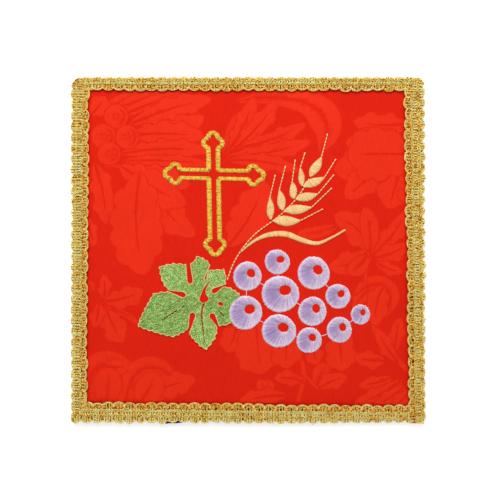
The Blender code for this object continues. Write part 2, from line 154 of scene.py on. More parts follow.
def calculate(tree, operation, *values):
    """A Math node of up to three values, each a number or another node's output."""
    return add_node(tree, "ShaderNodeMath", dict(enumerate(values)), operation=operation).outputs[0]


def start_material(name):
    """A new material: itself, its node tree and its shader's inputs."""
    material = bpy.data.materials.new(name)
    material.use_nodes = True
    return material, material.node_tree, material.node_tree.nodes["Principled BSDF"].inputs


def make_purple_cotton():
    """Dull dark purple cotton in plain weave, a little worn and lighter in places."""
    material, tree, shader = start_material("purple cotton")
    shader["Roughness"].default_value = 0.85
    shader["Sheen Weight"].default_value = 0.25
    place = add_node(tree, "ShaderNodeTexCoord").outputs["Object"]
    worn = add_node(tree, "ShaderNodeTexNoise", {"Vector": place, "Scale": 180, "Detail": 5})
    colour = add_node(tree, "ShaderNodeMix", {
        "Factor": worn.outputs[0], "A": linear(44, 22, 64), "B": linear(86, 50, 116),
    }, data_type="RGBA")
    tree.links.new(colour.outputs["Result"], shader["Base Color"])
    axes = add_node(tree, "ShaderNodeSeparateXYZ", {0: place}).outputs
    warp = calculate(tree, "SINE", calculate(tree, "MULTIPLY", axes[0], WEAVE_TURNS_PER_M))
    weft = calculate(tree, "SINE", calculate(tree, "MULTIPLY", axes[1], WEAVE_TURNS_PER_M))
    weave = calculate(tree, "MULTIPLY", warp, weft)
    bump = add_node(tree, "ShaderNodeBump", {"Height": weave, "Distance": 0.00006})
    tree.links.new(bump.outputs[0], shader["Normal"])
    return material


random.seed(11)
backing = rounded_panel(
    "backing_cloth_sewn", BACKING_CORNERS, BACKING_RADII, BACKING_UNDERSIDE, CORNER_SEGMENTS
)
bpy.ops.object.mode_set(mode="EDIT")
for edge in bmesh.from_edit_mesh(backing.data).edges:
    edge.select = edge.calc_length() > LONG_EDGE * MM
bpy.ops.mesh.subdivide(number_cuts=MARGIN_CUTS)
bpy.ops.mesh.select_all(action="SELECT")
to_hem = [
    Vector((hem[0] - edge[0], hem[1] - edge[1], 0)) * MM
    for hem, edge in zip(HEM_CORNERS, BACKING_CORNERS)
]
for rise in (HEM_LOWER_EDGE, HEM_BULGE, HEM_UPPER_EDGE, HEM_TOP):
    bpy.ops.mesh.region_to_loop()
    bpy.ops.mesh.extrude_edges_move()
    for vertex in bmesh.from_edit_mesh(backing.data).verts:
        if not vertex.select:
            continue
        if rise == HEM_BULGE:
            outward = Vector((vertex.co.x, vertex.co.y, 0)).normalized()
            vertex.co += outward * random.uniform(0, HEM_BULGE_WANDER) * MM
        if rise == HEM_TOP:
            vertex.co += between_corners(vertex.co, to_hem)
            wander = [random.uniform(-HEM_RAW_WANDER, HEM_RAW_WANDER) for _ in range(2)]
            vertex.co += Vector((*wander, 0)) * MM
        vertex.co.z = rise * MM
    bmesh.update_edit_mesh(backing.data)
bpy.ops.mesh.select_all(action="SELECT")
bpy.ops.mesh.normals_make_consistent(inside=False)
bpy.ops.object.mode_set(mode="OBJECT")
for vertex in backing.data.vertices:
    for peep in PEEPS:
        middle = Vector((peep["x"], peep["y"], vertex.co.z / MM)) * MM
        off = (vertex.co - middle).length / MM - PEEP_RADIUS
        share = math.exp(-(off / peep["spread"]) ** 2 / 2)
        if abs(vertex.co.z / MM - HEM_BULGE) < PEEP_HALF_HEIGHT:
            vertex.co += off_the_rim(peep["x"], peep["y"]) * peep["reach"] * share * MM
wall = backing.modifiers.new("Thickness", "SOLIDIFY")
wall.thickness = BACKING_THICKNESS * MM
wall.offset = -1.0
bpy.ops.object.modifier_apply(modifier=wall.name)
backing.data.shade_smooth()
backing.data.set_sharp_from_angle(angle=math.radians(50))
backing.data.materials.append(make_purple_cotton())
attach(backing, "root")
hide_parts("backing_cloth")

# Face: one square of red silk damask over a stiffener, with its rim thin under the hem and its
# field raised. The figure of leaves, petals and berries is woven in satin, and shows only as a
# lighter tone on the ground: painted sheen, standing in for the light off the satin floats
FACE_BOTTOM = 1.3
FACE_RIM_TOP = 2.5
FACE_TOP = 3.3
FACE_INSET = 1.3
FACE_SAG = 0.08
STEP_GAP = 0.4
STEP_SLOPE = 1.4
STEP_RINGS = (0.0, 1 / 3, 2 / 3, 1.0)
STEP_PARTS = 50
RIM_PARTS = 60
GRID = 2.4
GRID_CLEAR = 0.6
BERRIES = table(
    "x y radius",
    (-63.7, 64.5, 5.6),
    (-69.8, 54.9, 5.8),
    (-58.3, 54.5, 5.6),
    (-67.1, 46.4, 5.4),
)
LEAVES = table(
    "base tip width bend lobes",
    ((-72.4, 65.1), (-52.1, 75.4), 5.8, 0.1, 0),
    ((-67.5, 65.7), (-41.5, 75.4), 5.8, 0.08, 0),
    ((-61.7, 64.5), (-30.5, 75.0), 6.2, 0.08, 0),
    ((-56.9, 60.7), (-17.7, 73.0), 11.2, 0.06, 3),
    ((-52.1, 50.7), (-21.2, 64.5), 12.0, -0.05, 3),
    ((-57.9, 55.5), (-20.8, 54.9), 12.0, 0.05, 3),
    ((-61.7, 46.4), (-18.3, 47.8), 9.3, 0.08, 3),
    ((-60.8, 42.9), (-17.4, 41.0), 6.6, 0.05, 2),
    ((-76.2, 65.1), (-69.1, 74.2), 8.9, -0.1, 2),
    ((-74.3, 42.0), (-68.7, 12.4), 11.6, 0.1, 2),
    ((-77.6, 15.9), (-74.5, 1.5), 6.9, 0, 1),
    ((-52.1, 40.0), (-28.0, 31.4), 11.2, -0.1, 2),
    ((-49.2, 36.2), (-25.5, 6.7), 14.3, -0.18, 2),
    ((-62.0, 41.0), (-30.0, 22.0), 15.5, -0.06, 3),
    ((-52.1, 38.1), (-50.2, -12.2), 24.7, -0.12, 4),
    ((-11.6, 46.4), (-4.2, 66.5), 7.5, -0.08, 0),
    ((-9.3, 47.8), (3.1, 73.8), 9.5, -0.08, 2),
    ((-6.8, 48.7), (13.9, 72.3), 9.5, -0.1, 2),
    ((-3.9, 49.7), (28.0, 61.1), 8.0, -0.1, 2),
    ((-10.6, 44.9), (30.5, 52.6), 9.3, -0.08, 3),
    ((-9.6, 43.3), (24.7, 38.3), 8.1, 0.1, 3),
    ((-10.0, 1.5), (8.1, 33.3), 17.0, -0.12, 3),
    ((79.1, 60.3), (50.9, 61.8), 11.6, 0.05, 2),
    ((80.1, 50.7), (47.1, 51.6), 15.1, 0.0, 2),
    ((80.1, 40.0), (41.7, 38.7), 21.2, -0.05, 2),
    ((65.6, 38.1), (47.1, 24.8), 13.5, -0.1, 1),
    ((73.3, 37.1), (67.9, 20.2), 15.1, 0, 1),
    ((80.1, 46.4), (48.0, 46.0), 26.0, 0, 3),
    ((79.1, 31.4), (76.2, 21.7), 9.6, 0, 1),
    ((59.4, -2.4), (41.7, 16.7), 14.0, -0.28, 1),
    ((58.7, -2.4), (56.3, 20.7), 8.5, -0.12, 0),
    ((60.2, -2.4), (77.6, 19.4), 9.5, -0.1, 1),
    ((58.3, 0.1), (39.0, -7.6), 12.0, 0.3, 1),
    ((57.5, -2.4), (47.9, -10.7), 8.0, 0.25, 0),
    ((60.8, -3.8), (77.6, 2.8), 9.0, -0.12, 1),
    ((61.4, -5.3), (74.9, -10.7), 6.2, -0.15, 1),
    ((43.4, 11.7), (23.5, 7.8), 5.4, 0.12, 0),
    ((66.0, -16.9), (62.1, -36.9), 11.2, -0.2, 2),
    ((57.9, -19.8), (50.9, -28.5), 5.8, -0.1, 1),
    ((-69.8, -24.6), (-69.8, -11.9), 6.2, -0.1, 1),
    ((-69.5, -24.6), (-50.6, -19.2), 10.0, -0.15, 2),
    ((-68.7, -26.9), (-60.6, -44.7), 11.6, -0.08, 2),
    ((-71.8, -25.6), (-74.5, -37.3), 6.9, 0.1, 1),
    ((-75.3, -20.7), (-77.6, -15.0), 4.6, 0, 0),
    ((-66.6, -28.5), (-52.5, -36.2), 2.3, 0.15, 0),
    ((-52.1, -71.9), (-25.1, -62.8), 11.6, 0.1, 3),
    ((-69.5, -55.5), (-57.9, -55.5), 7.7, -0.2, 0),
    ((-68.0, -75.0), (-66.0, -57.0), 13.5, 0.1, 0),
    ((-53.5, -75.0), (-45.0, -59.0), 13.5, -0.15, 0),
    ((-4.8, -36.2), (-10.0, -49.3), 12.0, 0.05, 2),
    ((3.9, -34.2), (5.8, -60.1), 21.6, 0, 3),
    ((18.3, -40.0), (18.5, -57.0), 14.7, 0, 2),
    ((43.4, -40.0), (45.3, -58.6), 14.7, 0.05, 2),
    ((31.8, -47.8), (32.8, -55.1), 8.1, 0, 1),
    ((33.2, -65.5), (38.2, -55.1), 8.0, 0.1, 0),
    ((34.0, -66.7), (47.9, -61.3), 8.5, 0.1, 1),
    ((26.6, -63.6), (12.7, -62.0), 7.5, -0.12, 1),
    ((13.5, -71.9), (5.0, -62.8), 9.0, 0.1, 1),
    ((19.3, -70.5), (-4.8, -74.0), 8.5, -0.1, 2),
    ((66.6, -53.5), (51.7, -51.6), 8.5, 0.1, 1),
    ((70.6, -49.3), (73.7, -32.7), 7.3, 0.05, 1),
    ((72.2, -54.2), (61.8, -38.0), 7.3, 0.05, 1),
    ((69.9, -61.3), (53.6, -65.5), 6.9, 0.1, 1),
    ((74.3, -62.8), (50.9, -74.8), 8.9, 0.12, 1),
    ((76.2, -65.1), (60.8, -75.5), 7.3, 0.1, 1),
    ((78.2, -68.0), (69.9, -76.3), 7.7, 0.1, 1),
)
SCROLLS = table(
    "line widths",
    (((-4.6, 71.9), (9.7, 73.8), (27.0, 71.5), (35.9, 65.3), (38.2, 56.4), (35.1, 47.2)),
     (1.5, 6.6, 10.8, 15.4, 12.3, 1.5)),
    (((-76.8, -73.8), (-76.0, -60.9), (-69.1, -55.5), (-61.0, -57.8), (-58.3, -65.1), (-61.0, -73.2)),
     (7.7, 12.3, 13.5, 10.8, 9.6, 7.7)),
    (((-59.4, -73.8), (-56.3, -62.8), (-49.4, -57.0), (-41.3, -57.8), (-35.5, -62.4)),
     (6.9, 10.0, 10.4, 8.1, 1.5)),
    (((50.6, -24.6), (56.7, -18.0), (64.1, -16.9), (68.7, -22.7), (65.6, -31.9)),
     (1.9, 6.6, 8.5, 8.9, 3.1)),
    (((-69.1, 40.6), (-60.8, 39.5), (-54.4, 31.0)), (0.8, 1.0, 0.8)),
    (((58.9, -3.4), (57.1, -11.1), (56.3, -16.9)), (1.4, 1.2, 1.0)),
    (((24.7, -49.3), (27.0, -60.3), (23.9, -73.8)), (1.2, 1.9, 1.5)),
    (((27.0, -59.7), (32.8, -66.1), (34.7, -66.3)), (1.2, 1.2, 1.0)),
    (((59.8, -33.3), (64.8, -45.8), (78.2, -58.6)), (1.7, 2.9, 2.3)),
)
EDGE_RINGS = ((0.5, 0.0), (0.0, 1.0), (-0.4, 1.0))
VEIN_TONE = -0.7
LEAF_BELLY = 1.15
BODY_SHARE = 0.78
BODY_STEP = 2.5
TIP_LOBE_AT = 0.86
SIDE_LOBES = {"from": 0.18, "spread": 0.66, "stagger": 0.14}
LOBE_EGG = {"lean": 0.6, "aside": 0.56, "half_long": 0.5, "half_wide": 0.62, "crowd": 0.52}
MIDRIB = table(
    "along width",
    (0.02, 0.8),
    (0.2, 0.9),
    (0.4, 0.8),
    (0.6, 0.6),
    (0.78, 0.2),
)
THINNEST_SCROLL = 0.15
VEINED_SCROLL = 4
BERRY_SHADE_SHARE = 0.72
BERRY_SHADE_TURNS = range(-80, 61, 20)
BERRY_SHADE_WIDTHS = (0.1, 0.4, 0.6, 0.7, 0.7, 0.6, 0.4, 0.1)
SEED_SHARE = 0.24
SEED_RADIUS = 0.42
FIGURE_INSET = 0.7
EGG_POINTS = 14
CURVE_STEPS = 6


def turned(vector, degrees):
    """A direction in the plane turned anticlockwise."""
    angle = math.radians(degrees)
    cosine, sine = math.cos(angle), math.sin(angle)
    return Vector((vector.x * cosine - vector.y * sine, vector.x * sine + vector.y * cosine))


def right_of(along):
    """The direction to the right of one in the plane."""
    return Vector((along.y, -along.x))


def evenly(values, steps):
    """Points on the even curve through the given ones, with a number of steps to each stretch."""
    last = len(values) - 1
    found = []
    for i in range(last):
        a, b, c, d = (values[min(max(k, 0), last)] for k in (i - 1, i, i + 1, i + 2))
        for step in range(steps):
            s = step / steps
            bend = (2 * a - 5 * b + 4 * c - d) * s * s
            found.append(b + 0.5 * ((c - a) * s + bend + (3 * b - a - 3 * c + d) * s**3))
    return found + [values[-1]]


def ribbon(line, widths):
    """The outline of a flat strip of changing width along a line."""
    left, right = [], []
    last = len(line) - 1
    for i, point in enumerate(line):
        along = (line[min(i + 1, last)] - line[max(i - 1, 0)]).normalized()
        aside = right_of(along) * widths[i] / 2
        left.append(point - aside)
        right.append(point + aside)
    return right + left[::-1]


class WovenLeaf:
    """One leaf or petal of the damask's figure, in millimetres."""

    def __init__(self, row):
        self.base = Vector(row["base"])
        self.tip = Vector(row["tip"])
        self.width = row["width"]
        self.lobes = row["lobes"]
        along = self.tip - self.base
        self.length = along.length
        self.middle = (self.base + self.tip) / 2 - right_of(along) * row["bend"]

    def spine(self, s):
        """A place on the midrib, from 0 at the base to 1 at the tip."""
        return self.base * (1 - s) ** 2 + self.middle * 2 * s * (1 - s) + self.tip * s * s

    def ahead(self, s):
        """The direction along the midrib."""
        return ((self.middle - self.base) * (1 - s) + (self.tip - self.middle) * s).normalized()

    def beside(self, s, distance):
        """A place at a distance to the right of the midrib."""
        return self.spine(s) + right_of(self.ahead(s)) * distance

    def half_width(self, s):
        """Half the leaf's width."""
        return self.width / 2 * math.sin(math.pi * s**LEAF_BELLY) ** 0.5

    def body(self, share, grow):
        """Round a share of the leaf's width, grown outward."""
        steps = 5 + round(self.length / BODY_STEP)
        reaches = [(k / steps, max(self.half_width(k / steps) * share + grow, 0.1))
                   for k in range(1, steps)]
        right, left = ([self.beside(s, hand * reach) for s, reach in reaches] for hand in (1, -1))
        foot, tip = self.spine(0.0) - self.ahead(0.0) * grow, self.tip + self.ahead(1.0) * grow
        return [foot] + right + [tip] + left[::-1]

    def lobe(self, s, hand, grow):
        """One round lobe of the edge, an egg that leans toward the tip."""
        ahead, aside = self.ahead(s), right_of(self.ahead(s)) * hand
        reach = self.half_width(s)
        lean = (ahead * LOBE_EGG["lean"] + aside).normalized() if hand else ahead
        room = self.length * LOBE_EGG["crowd"] / (self.lobes + 0.6)
        half_wide = max(min(reach * LOBE_EGG["half_wide"], room) + grow, 0.2)
        half_long = reach * LOBE_EGG["half_long"] + grow
        middle = self.spine(s) + aside * reach * LOBE_EGG["aside"]
        return [
            middle + lean * half_long * math.cos(turn) - right_of(lean) * half_wide * math.sin(turn)
            for turn in (2 * math.pi * k / EGG_POINTS for k in range(EGG_POINTS))
        ]

    def outlines(self, grow):
        """The body and its lobes, all grown outward."""
        if not self.lobes:
            return [self.body(1.0, grow)]
        found = [self.body(BODY_SHARE, grow), self.lobe(TIP_LOBE_AT, 0, grow)]
        for k in range(self.lobes):
            for hand in (1, -1):
                place = (k + 0.5 + SIDE_LOBES["stagger"] * hand) / self.lobes
                place = SIDE_LOBES["from"] + SIDE_LOBES["spread"] * place
                found.append(self.lobe(place, hand, grow))
        return found

    def vein(self):
        """The midrib, a thin strip of ground."""
        rib = [self.spine(row["along"]) for row in MIDRIB]
        return ribbon(rib, [row["width"] for row in MIDRIB])


def circle(middle, radius, count=26):
    """A ring of points."""
    return [middle + turned(Vector((radius, 0.0)), 360 * i / count) for i in range(count)]


def woven_figure():
    """Every outline of the figure with its tone, each over the ones before it."""
    shapes = []
    for row in SCROLLS:
        line = evenly([Vector(point) for point in row["line"]], CURVE_STEPS)
        widths = evenly(list(row["widths"]), CURVE_STEPS)
        for grow, tone in EDGE_RINGS:
            grown = [max(width + 2 * grow, THINNEST_SCROLL) for width in widths]
            shapes.append((ribbon(line, grown), tone))
        if max(widths) > VEINED_SCROLL:
            shapes.append((ribbon(line, [0.1 * width for width in widths]), VEIN_TONE))
    for row in LEAVES:
        leaf = WovenLeaf(row)
        for grow, tone in EDGE_RINGS:
            shapes += [(outline, tone) for outline in leaf.outlines(grow)]
        shapes.append((leaf.vein(), VEIN_TONE))
    for row in BERRIES:
        middle = Vector((row["x"], row["y"]))
        shapes += [(circle(middle, row["radius"] + grow), tone) for grow, tone in EDGE_RINGS]
        shade_reach = Vector((row["radius"] * BERRY_SHADE_SHARE, 0.0))
        shade = [middle + turned(shade_reach, turn) for turn in BERRY_SHADE_TURNS]
        shapes.append((ribbon(shade, BERRY_SHADE_WIDTHS), VEIN_TONE))
        for seed in circle(middle, row["radius"] * SEED_SHARE, 5):
            shapes.append((circle(seed, SEED_RADIUS, 6), VEIN_TONE))
    return shapes


def quad_distance(x, y, corners):
    """How far places lie inside a clockwise quadrilateral, in millimetres."""
    nearest = np.full(np.shape(x), 1e9)
    for i, start in enumerate(corners):
        along = (Vector(corners[(i + 1) % 4]) - Vector(start)).normalized()
        inward = right_of(along)
        nearest = np.minimum(nearest, (x - start[0]) * inward.x + (y - start[1]) * inward.y)
    return nearest


def face_height(x, y):
    """The face's top: a thin rim, a soft step and a field that isn't quite flat."""
    inside = quad_distance(x, y, HEM_CORNERS)
    share = np.clip((inside - STEP_GAP) / STEP_SLOPE, 0, 1)
    step = share * share * (3 - 2 * share)
    wave = 0.05 * np.sin(x * 0.11 + 1.3) * np.sin(y * 0.09 + 0.4)
    wave = wave + 0.03 * np.sin(x * 0.23 + y * 0.17)
    return FACE_RIM_TOP + step * (FACE_TOP - FACE_RIM_TOP - FACE_SAG + wave)


def inset_quad(corners, inset):
    """A quadrilateral's corners moved inward by the same distance on each side."""
    return [
        (x - math.copysign(inset, x), y - math.copysign(inset, y))
        for x, y in corners
    ]


def along_quad(corners, parts):
    """Places round a quadrilateral, with a number of parts to each side."""
    sides = zip(corners, corners[1:] + corners[:1])
    return [
        Vector(start).lerp(Vector(end), k / parts) for start, end in sides for k in range(parts)
    ]


def ring_edges(outline, spots):
    """Adds one closed outline to the spots and gives its edges."""
    first, count = len(spots), len(outline)
    spots.extend((point[0], point[1]) for point in outline)
    return [(first + k, first + (k + 1) % count) for k in range(count)]


def held_inside(point):
    """A point of the figure kept on the part of the face that shows."""
    depth = float(quad_distance(point.x, point.y, HEM_CORNERS))
    return point if depth > FIGURE_INSET else point * (1 - (FIGURE_INSET - depth) / point.length)


def paint(tones, middles, outline, tone):
    """Gives a tone to the places that an outline surrounds, by the even-odd rule."""
    line = np.array([(point[0], point[1]) for point in outline])
    near = np.flatnonzero(((middles > line.min(axis=0)) & (middles < line.max(axis=0))).all(axis=1))
    spot, following = middles[near][:, None, :], np.roll(line, -1, axis=0)
    with np.errstate(divide="ignore", invalid="ignore"):
        share = (spot[..., 1] - line[:, 1]) / (following[:, 1] - line[:, 1])
        crosses = (line[:, 1] > spot[..., 1]) != (following[:, 1] > spot[..., 1])
        crosses &= spot[..., 0] < line[:, 0] + share * (following[:, 0] - line[:, 0])
    tones[near[crosses.sum(axis=1) % 2 == 1]] = tone


def face_mesh():
    """The face's top as triangles along every outline of the figure, and the tone at each point."""
    rim = inset_quad(BACKING_CORNERS, FACE_INSET)
    spots = [
        (x, y) for x in np.arange(-81, 82, GRID) for y in np.arange(-80, 81, GRID)
        if quad_distance(x, y, rim) > GRID_CLEAR
    ]
    rim_face = [edge[0] for edge in ring_edges(along_quad(rim, RIM_PARTS)[::-1], spots)]
    for share in STEP_RINGS:
        ring = inset_quad(HEM_CORNERS, STEP_GAP + STEP_SLOPE * share)
        spots.extend(point[:2] for point in along_quad(ring, STEP_PARTS))
    figure = woven_figure()
    edges = []
    for outline, _ in figure:
        edges += ring_edges([held_inside(point) for point in outline], spots)
    points, _, triangles, _, _, _ = delaunay_2d_cdt(
        [Vector(spot) for spot in spots], edges, [rim_face], 1, 1e-4
    )
    flat = np.array([(point.x, point.y) for point in points])
    corners = np.array(triangles)
    tones = np.zeros(len(corners))
    middles = flat[corners].mean(axis=1)
    for outline, tone in figure:
        paint(tones, middles, outline, tone)
    total = np.bincount(corners.ravel(), np.repeat(tones, 3), len(points))
    count = np.bincount(corners.ravel(), minlength=len(points))
    return flat, triangles, np.clip(total / np.maximum(count, 1), 0, 1)


def make_red_damask():
    """Silk damask: the figure floats in satin, glossier than the ribbed ground, with painted sheen
    making it lighter.
    """
    material, tree, shader = start_material("red damask")
    shader["Sheen Weight"].default_value = 0.0
    shader["Specular IOR Level"].default_value = 0.08
    place = add_node(tree, "ShaderNodeTexCoord").outputs["Object"]
    figure = add_node(tree, "ShaderNodeAttribute", attribute_name="figure").outputs["Fac"]
    cloud = add_node(tree, "ShaderNodeTexNoise", {"Vector": place, "Scale": 45, "Detail": 3})
    stretch = add_node(tree, "ShaderNodeMapping", {
        "Vector": place, "Rotation": (0, 0, math.radians(12)), "Scale": (1.0, 0.25, 1.0),
    })
    grain = add_node(tree, "ShaderNodeTexNoise", {
        "Vector": stretch.outputs[0], "Scale": 1400, "Detail": 2,
    }).outputs[0]
    # Painted sheen: the figure's base colour is lighter than the ground's, for the satin floats
    # catching the light
    red_and_satin_sheen = add_node(tree, "ShaderNodeMix", {
        "Factor": figure, "A": linear(214, 34, 14), "B": linear(226, 45, 19),
    }, data_type="RGBA")
    unevenness = calculate(tree, "ADD", calculate(tree, "MULTIPLY", cloud.outputs[0], 0.4),
                           calculate(tree, "MULTIPLY", grain, 0.6))
    shift = add_node(tree, "ShaderNodeMapRange", {
        "Value": unevenness, "From Min": 0.3, "From Max": 0.7, "To Min": 0.90, "To Max": 1.06,
    })
    mottled = add_node(tree, "ShaderNodeMix", {
        "Factor": 1.0, "A": red_and_satin_sheen.outputs["Result"], "B": shift.outputs[0],
    }, data_type="RGBA", blend_type="MULTIPLY")
    tree.links.new(mottled.outputs["Result"], shader["Base Color"])
    gloss = add_node(tree, "ShaderNodeMapRange", {"Value": figure, "To Min": 0.72, "To Max": 0.48})
    tree.links.new(gloss.outputs[0], shader["Roughness"])
    ribs = add_node(tree, "ShaderNodeTexWave", {
        "Vector": place, "Scale": 700, "Distortion": 1.5, "Detail": 1,
    }, wave_type="BANDS", bands_direction="X")
    relief = calculate(tree, "ADD", calculate(tree, "MULTIPLY", ribs.outputs[1], 0.5), figure)
    relief = calculate(tree, "ADD", relief, calculate(tree, "MULTIPLY", grain, 0.8))
    bump = add_node(tree, "ShaderNodeBump", {"Height": relief, "Distance": 0.00005})
    tree.links.new(bump.outputs[0], shader["Normal"])
    return material


flat, triangles, shown = face_mesh()
heights = face_height(flat[:, 0], flat[:, 1])
mesh = bpy.data.meshes.new("damask_face_woven")
mesh.from_pydata(np.column_stack([flat, heights]) * MM, [], [list(t) for t in triangles])
tone_layer = mesh.attributes.new("figure", "FLOAT", "POINT")
tone_layer.data.foreach_set("value", shown.astype(np.float32))
face = bpy.data.objects.new("damask_face_woven", mesh)
bpy.context.scene.collection.objects.link(face)
bpy.ops.object.select_all(action="DESELECT")
face.select_set(True)
bpy.context.view_layer.objects.active = face
bpy.ops.object.mode_set(mode="EDIT")
bpy.ops.mesh.select_all(action="SELECT")
bpy.ops.mesh.normals_make_consistent(inside=False)
bpy.ops.mesh.region_to_loop()
bpy.ops.mesh.extrude_edges_move(
    TRANSFORM_OT_translate={"value": (0, 0, (FACE_BOTTOM - FACE_RIM_TOP) * MM)}
)
bpy.ops.mesh.edge_face_add()
bpy.ops.mesh.select_all(action="SELECT")
bpy.ops.mesh.normals_make_consistent(inside=False)
bpy.ops.object.mode_set(mode="OBJECT")
mesh.shade_smooth()
mesh.set_sharp_from_angle(angle=math.radians(50))
mesh.materials.append(make_red_damask())
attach(face, "root")
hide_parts("damask_face")

# Braid: four lengths of crocheted gold braid sewn over the hem. Its inner scallops are open
# arches of doubled thread, and outside them paired threads run across under two rows of chain
# stitch, with loops along the outer edge. Where it is narrow, it rolls over the pall's edge
BRAID_CORNERS = ((-85.6, 83.9), (85.3, 83.9), (86.0, -83.6), (-85.9, -83.5))
WINDOW_CORNERS = ((-76.5, 76.8), (75.1, 76.7), (77.4, -74.9), (-77.7, -73.2))
BRAID_CORNER_RADII = (7.5, 6.0, 1.2, 1.2)
BRAID_BOTTOM = 4.1
BRAID_FLAT_WIDTH = 10.0
ROLL_INNER_RADIUS = 0.6
ROLL_MIDDLE_RADIUS = 1.2
ROLL_HEIGHT = 1.0
ROLLED_DROP = 2.1
ROLLED_PLAN_WIDTH = 7.7
PUCKER = 0.9
SCALLOP_PITCH = 5.2
INNER_DEPTH = 1.3
OUTER_DEPTHS = (1.1, 1.3, 1.0, 1.0)
EDGE_WANDER = 0.22
MITRE_GAP = 0.12
OVERLAP = 0.4
LAP_SIDE, LAPPED_CORNER = 1, 2
THREAD_SIDES = 5
THREAD_RADIUS = 0.235
THREAD_PLACE_SPREAD = 0.04
THREAD_HEIGHT_SPREAD = 0.05
ARCH_CENTRE = 2.0
ARCH_REACHES = (2.75, 2.8, 2.7, 3.0)
ARCH_RISE = 1.85
ARCH_TURN = 112
ARCH_POINTS = 17
ARCH_STEP = 0.42
ARCH_HEIGHT = 0.42
ARCH_STACK = 0.14
ARCH_SHADE = 0.62
TUCK_LEAN = 0.5
SPOKE_ASIDE = 0.62
SPOKE_POINTS = 8
SPOKE_START = 0.75
SPOKE_HEIGHT = 0.5
SPOKE_SHADE = 0.56
BAND_START = 3.3
RUNGS_PER_SCALLOP = 4
RUNG_PITCH = SCALLOP_PITCH / RUNGS_PER_SCALLOP
RUNG_POINTS = 19
RUNG_HEIGHT = 0.72
RUNG_PRESS = 0.34
RUNG_DIVE = 0.28
RUNG_SHADE = 0.64
CHAIN_POINTS = 13
CHAIN_HEIGHT = 0.74
CHAIN_OVERLAP = 1.3
CHAIN_ROWS = table(
    "side t width thread raise press shade",
    (0, 3.5, 0.8, 0.2, 0.0, 0.8, 0.6),
    (0, 5.2, 0.9, 0.23, 0.06, 1.0, 0.42),
    (1, 3.7, 0.7, 0.17, 0.0, 0.9, 0.5),
    (1, 6.8, 1.3, 0.29, 0.08, 1.0, 0.36),
    (2, 4.1, 0.8, 0.2, 0.02, 0.8, 0.66),
    (2, 6.4, 0.9, 0.24, 0.06, 0.9, 0.45),
    (3, 3.2, 0.7, 0.18, -0.04, 0.8, 0.45),
    (3, 6.2, 0.6, 0.17, -0.06, 0.5, 0.5),
)
# Ground threads under the band, given the darkest tone: painted shade in the gaps between the threads
# over them
GROUND_THREADS = 15
SHADOWED_GROUND = {"height": 0.24, "radius": 0.36, "shade": 0.05, "step": 0.65, "wind": 0.0}
EDGE_CORD = {"height": 0.5, "radius": 0.2, "shade": 0.7, "step": 0.34, "wind": 0.13}
CORD_LAY = 1.3
# Stretches where the ground threads are painted darkest: painted shade standing in for holes through
# the braid
PAINTED_HOLE_SHADOWS = table(
    "side from to t",
    (1, 103, 142, 2.6),
    (2, 58, 102, 3.0),
)
SPOT_HALF_LENGTH = 0.8
SPOT_HALF_WIDTH = 0.6
HOLE_SHADOW_SHADE = -1.0
PICOT_STARTS = np.array((0.12, 0.38, 0.62))
PICOT_LENGTH = 1.5
PICOT_ROOT = 0.75
PICOT_REACH = 0.8
PICOT_HEIGHT = 0.62
PICOT_SHADE = 0.75
PICOT_RADIUS = 0.19


def scallop(u):
    """0 at the tip of a scallop and 1 in the notch between two."""
    return 1.0 - np.sin(math.pi * ((u / SCALLOP_PITCH) % 1.0))


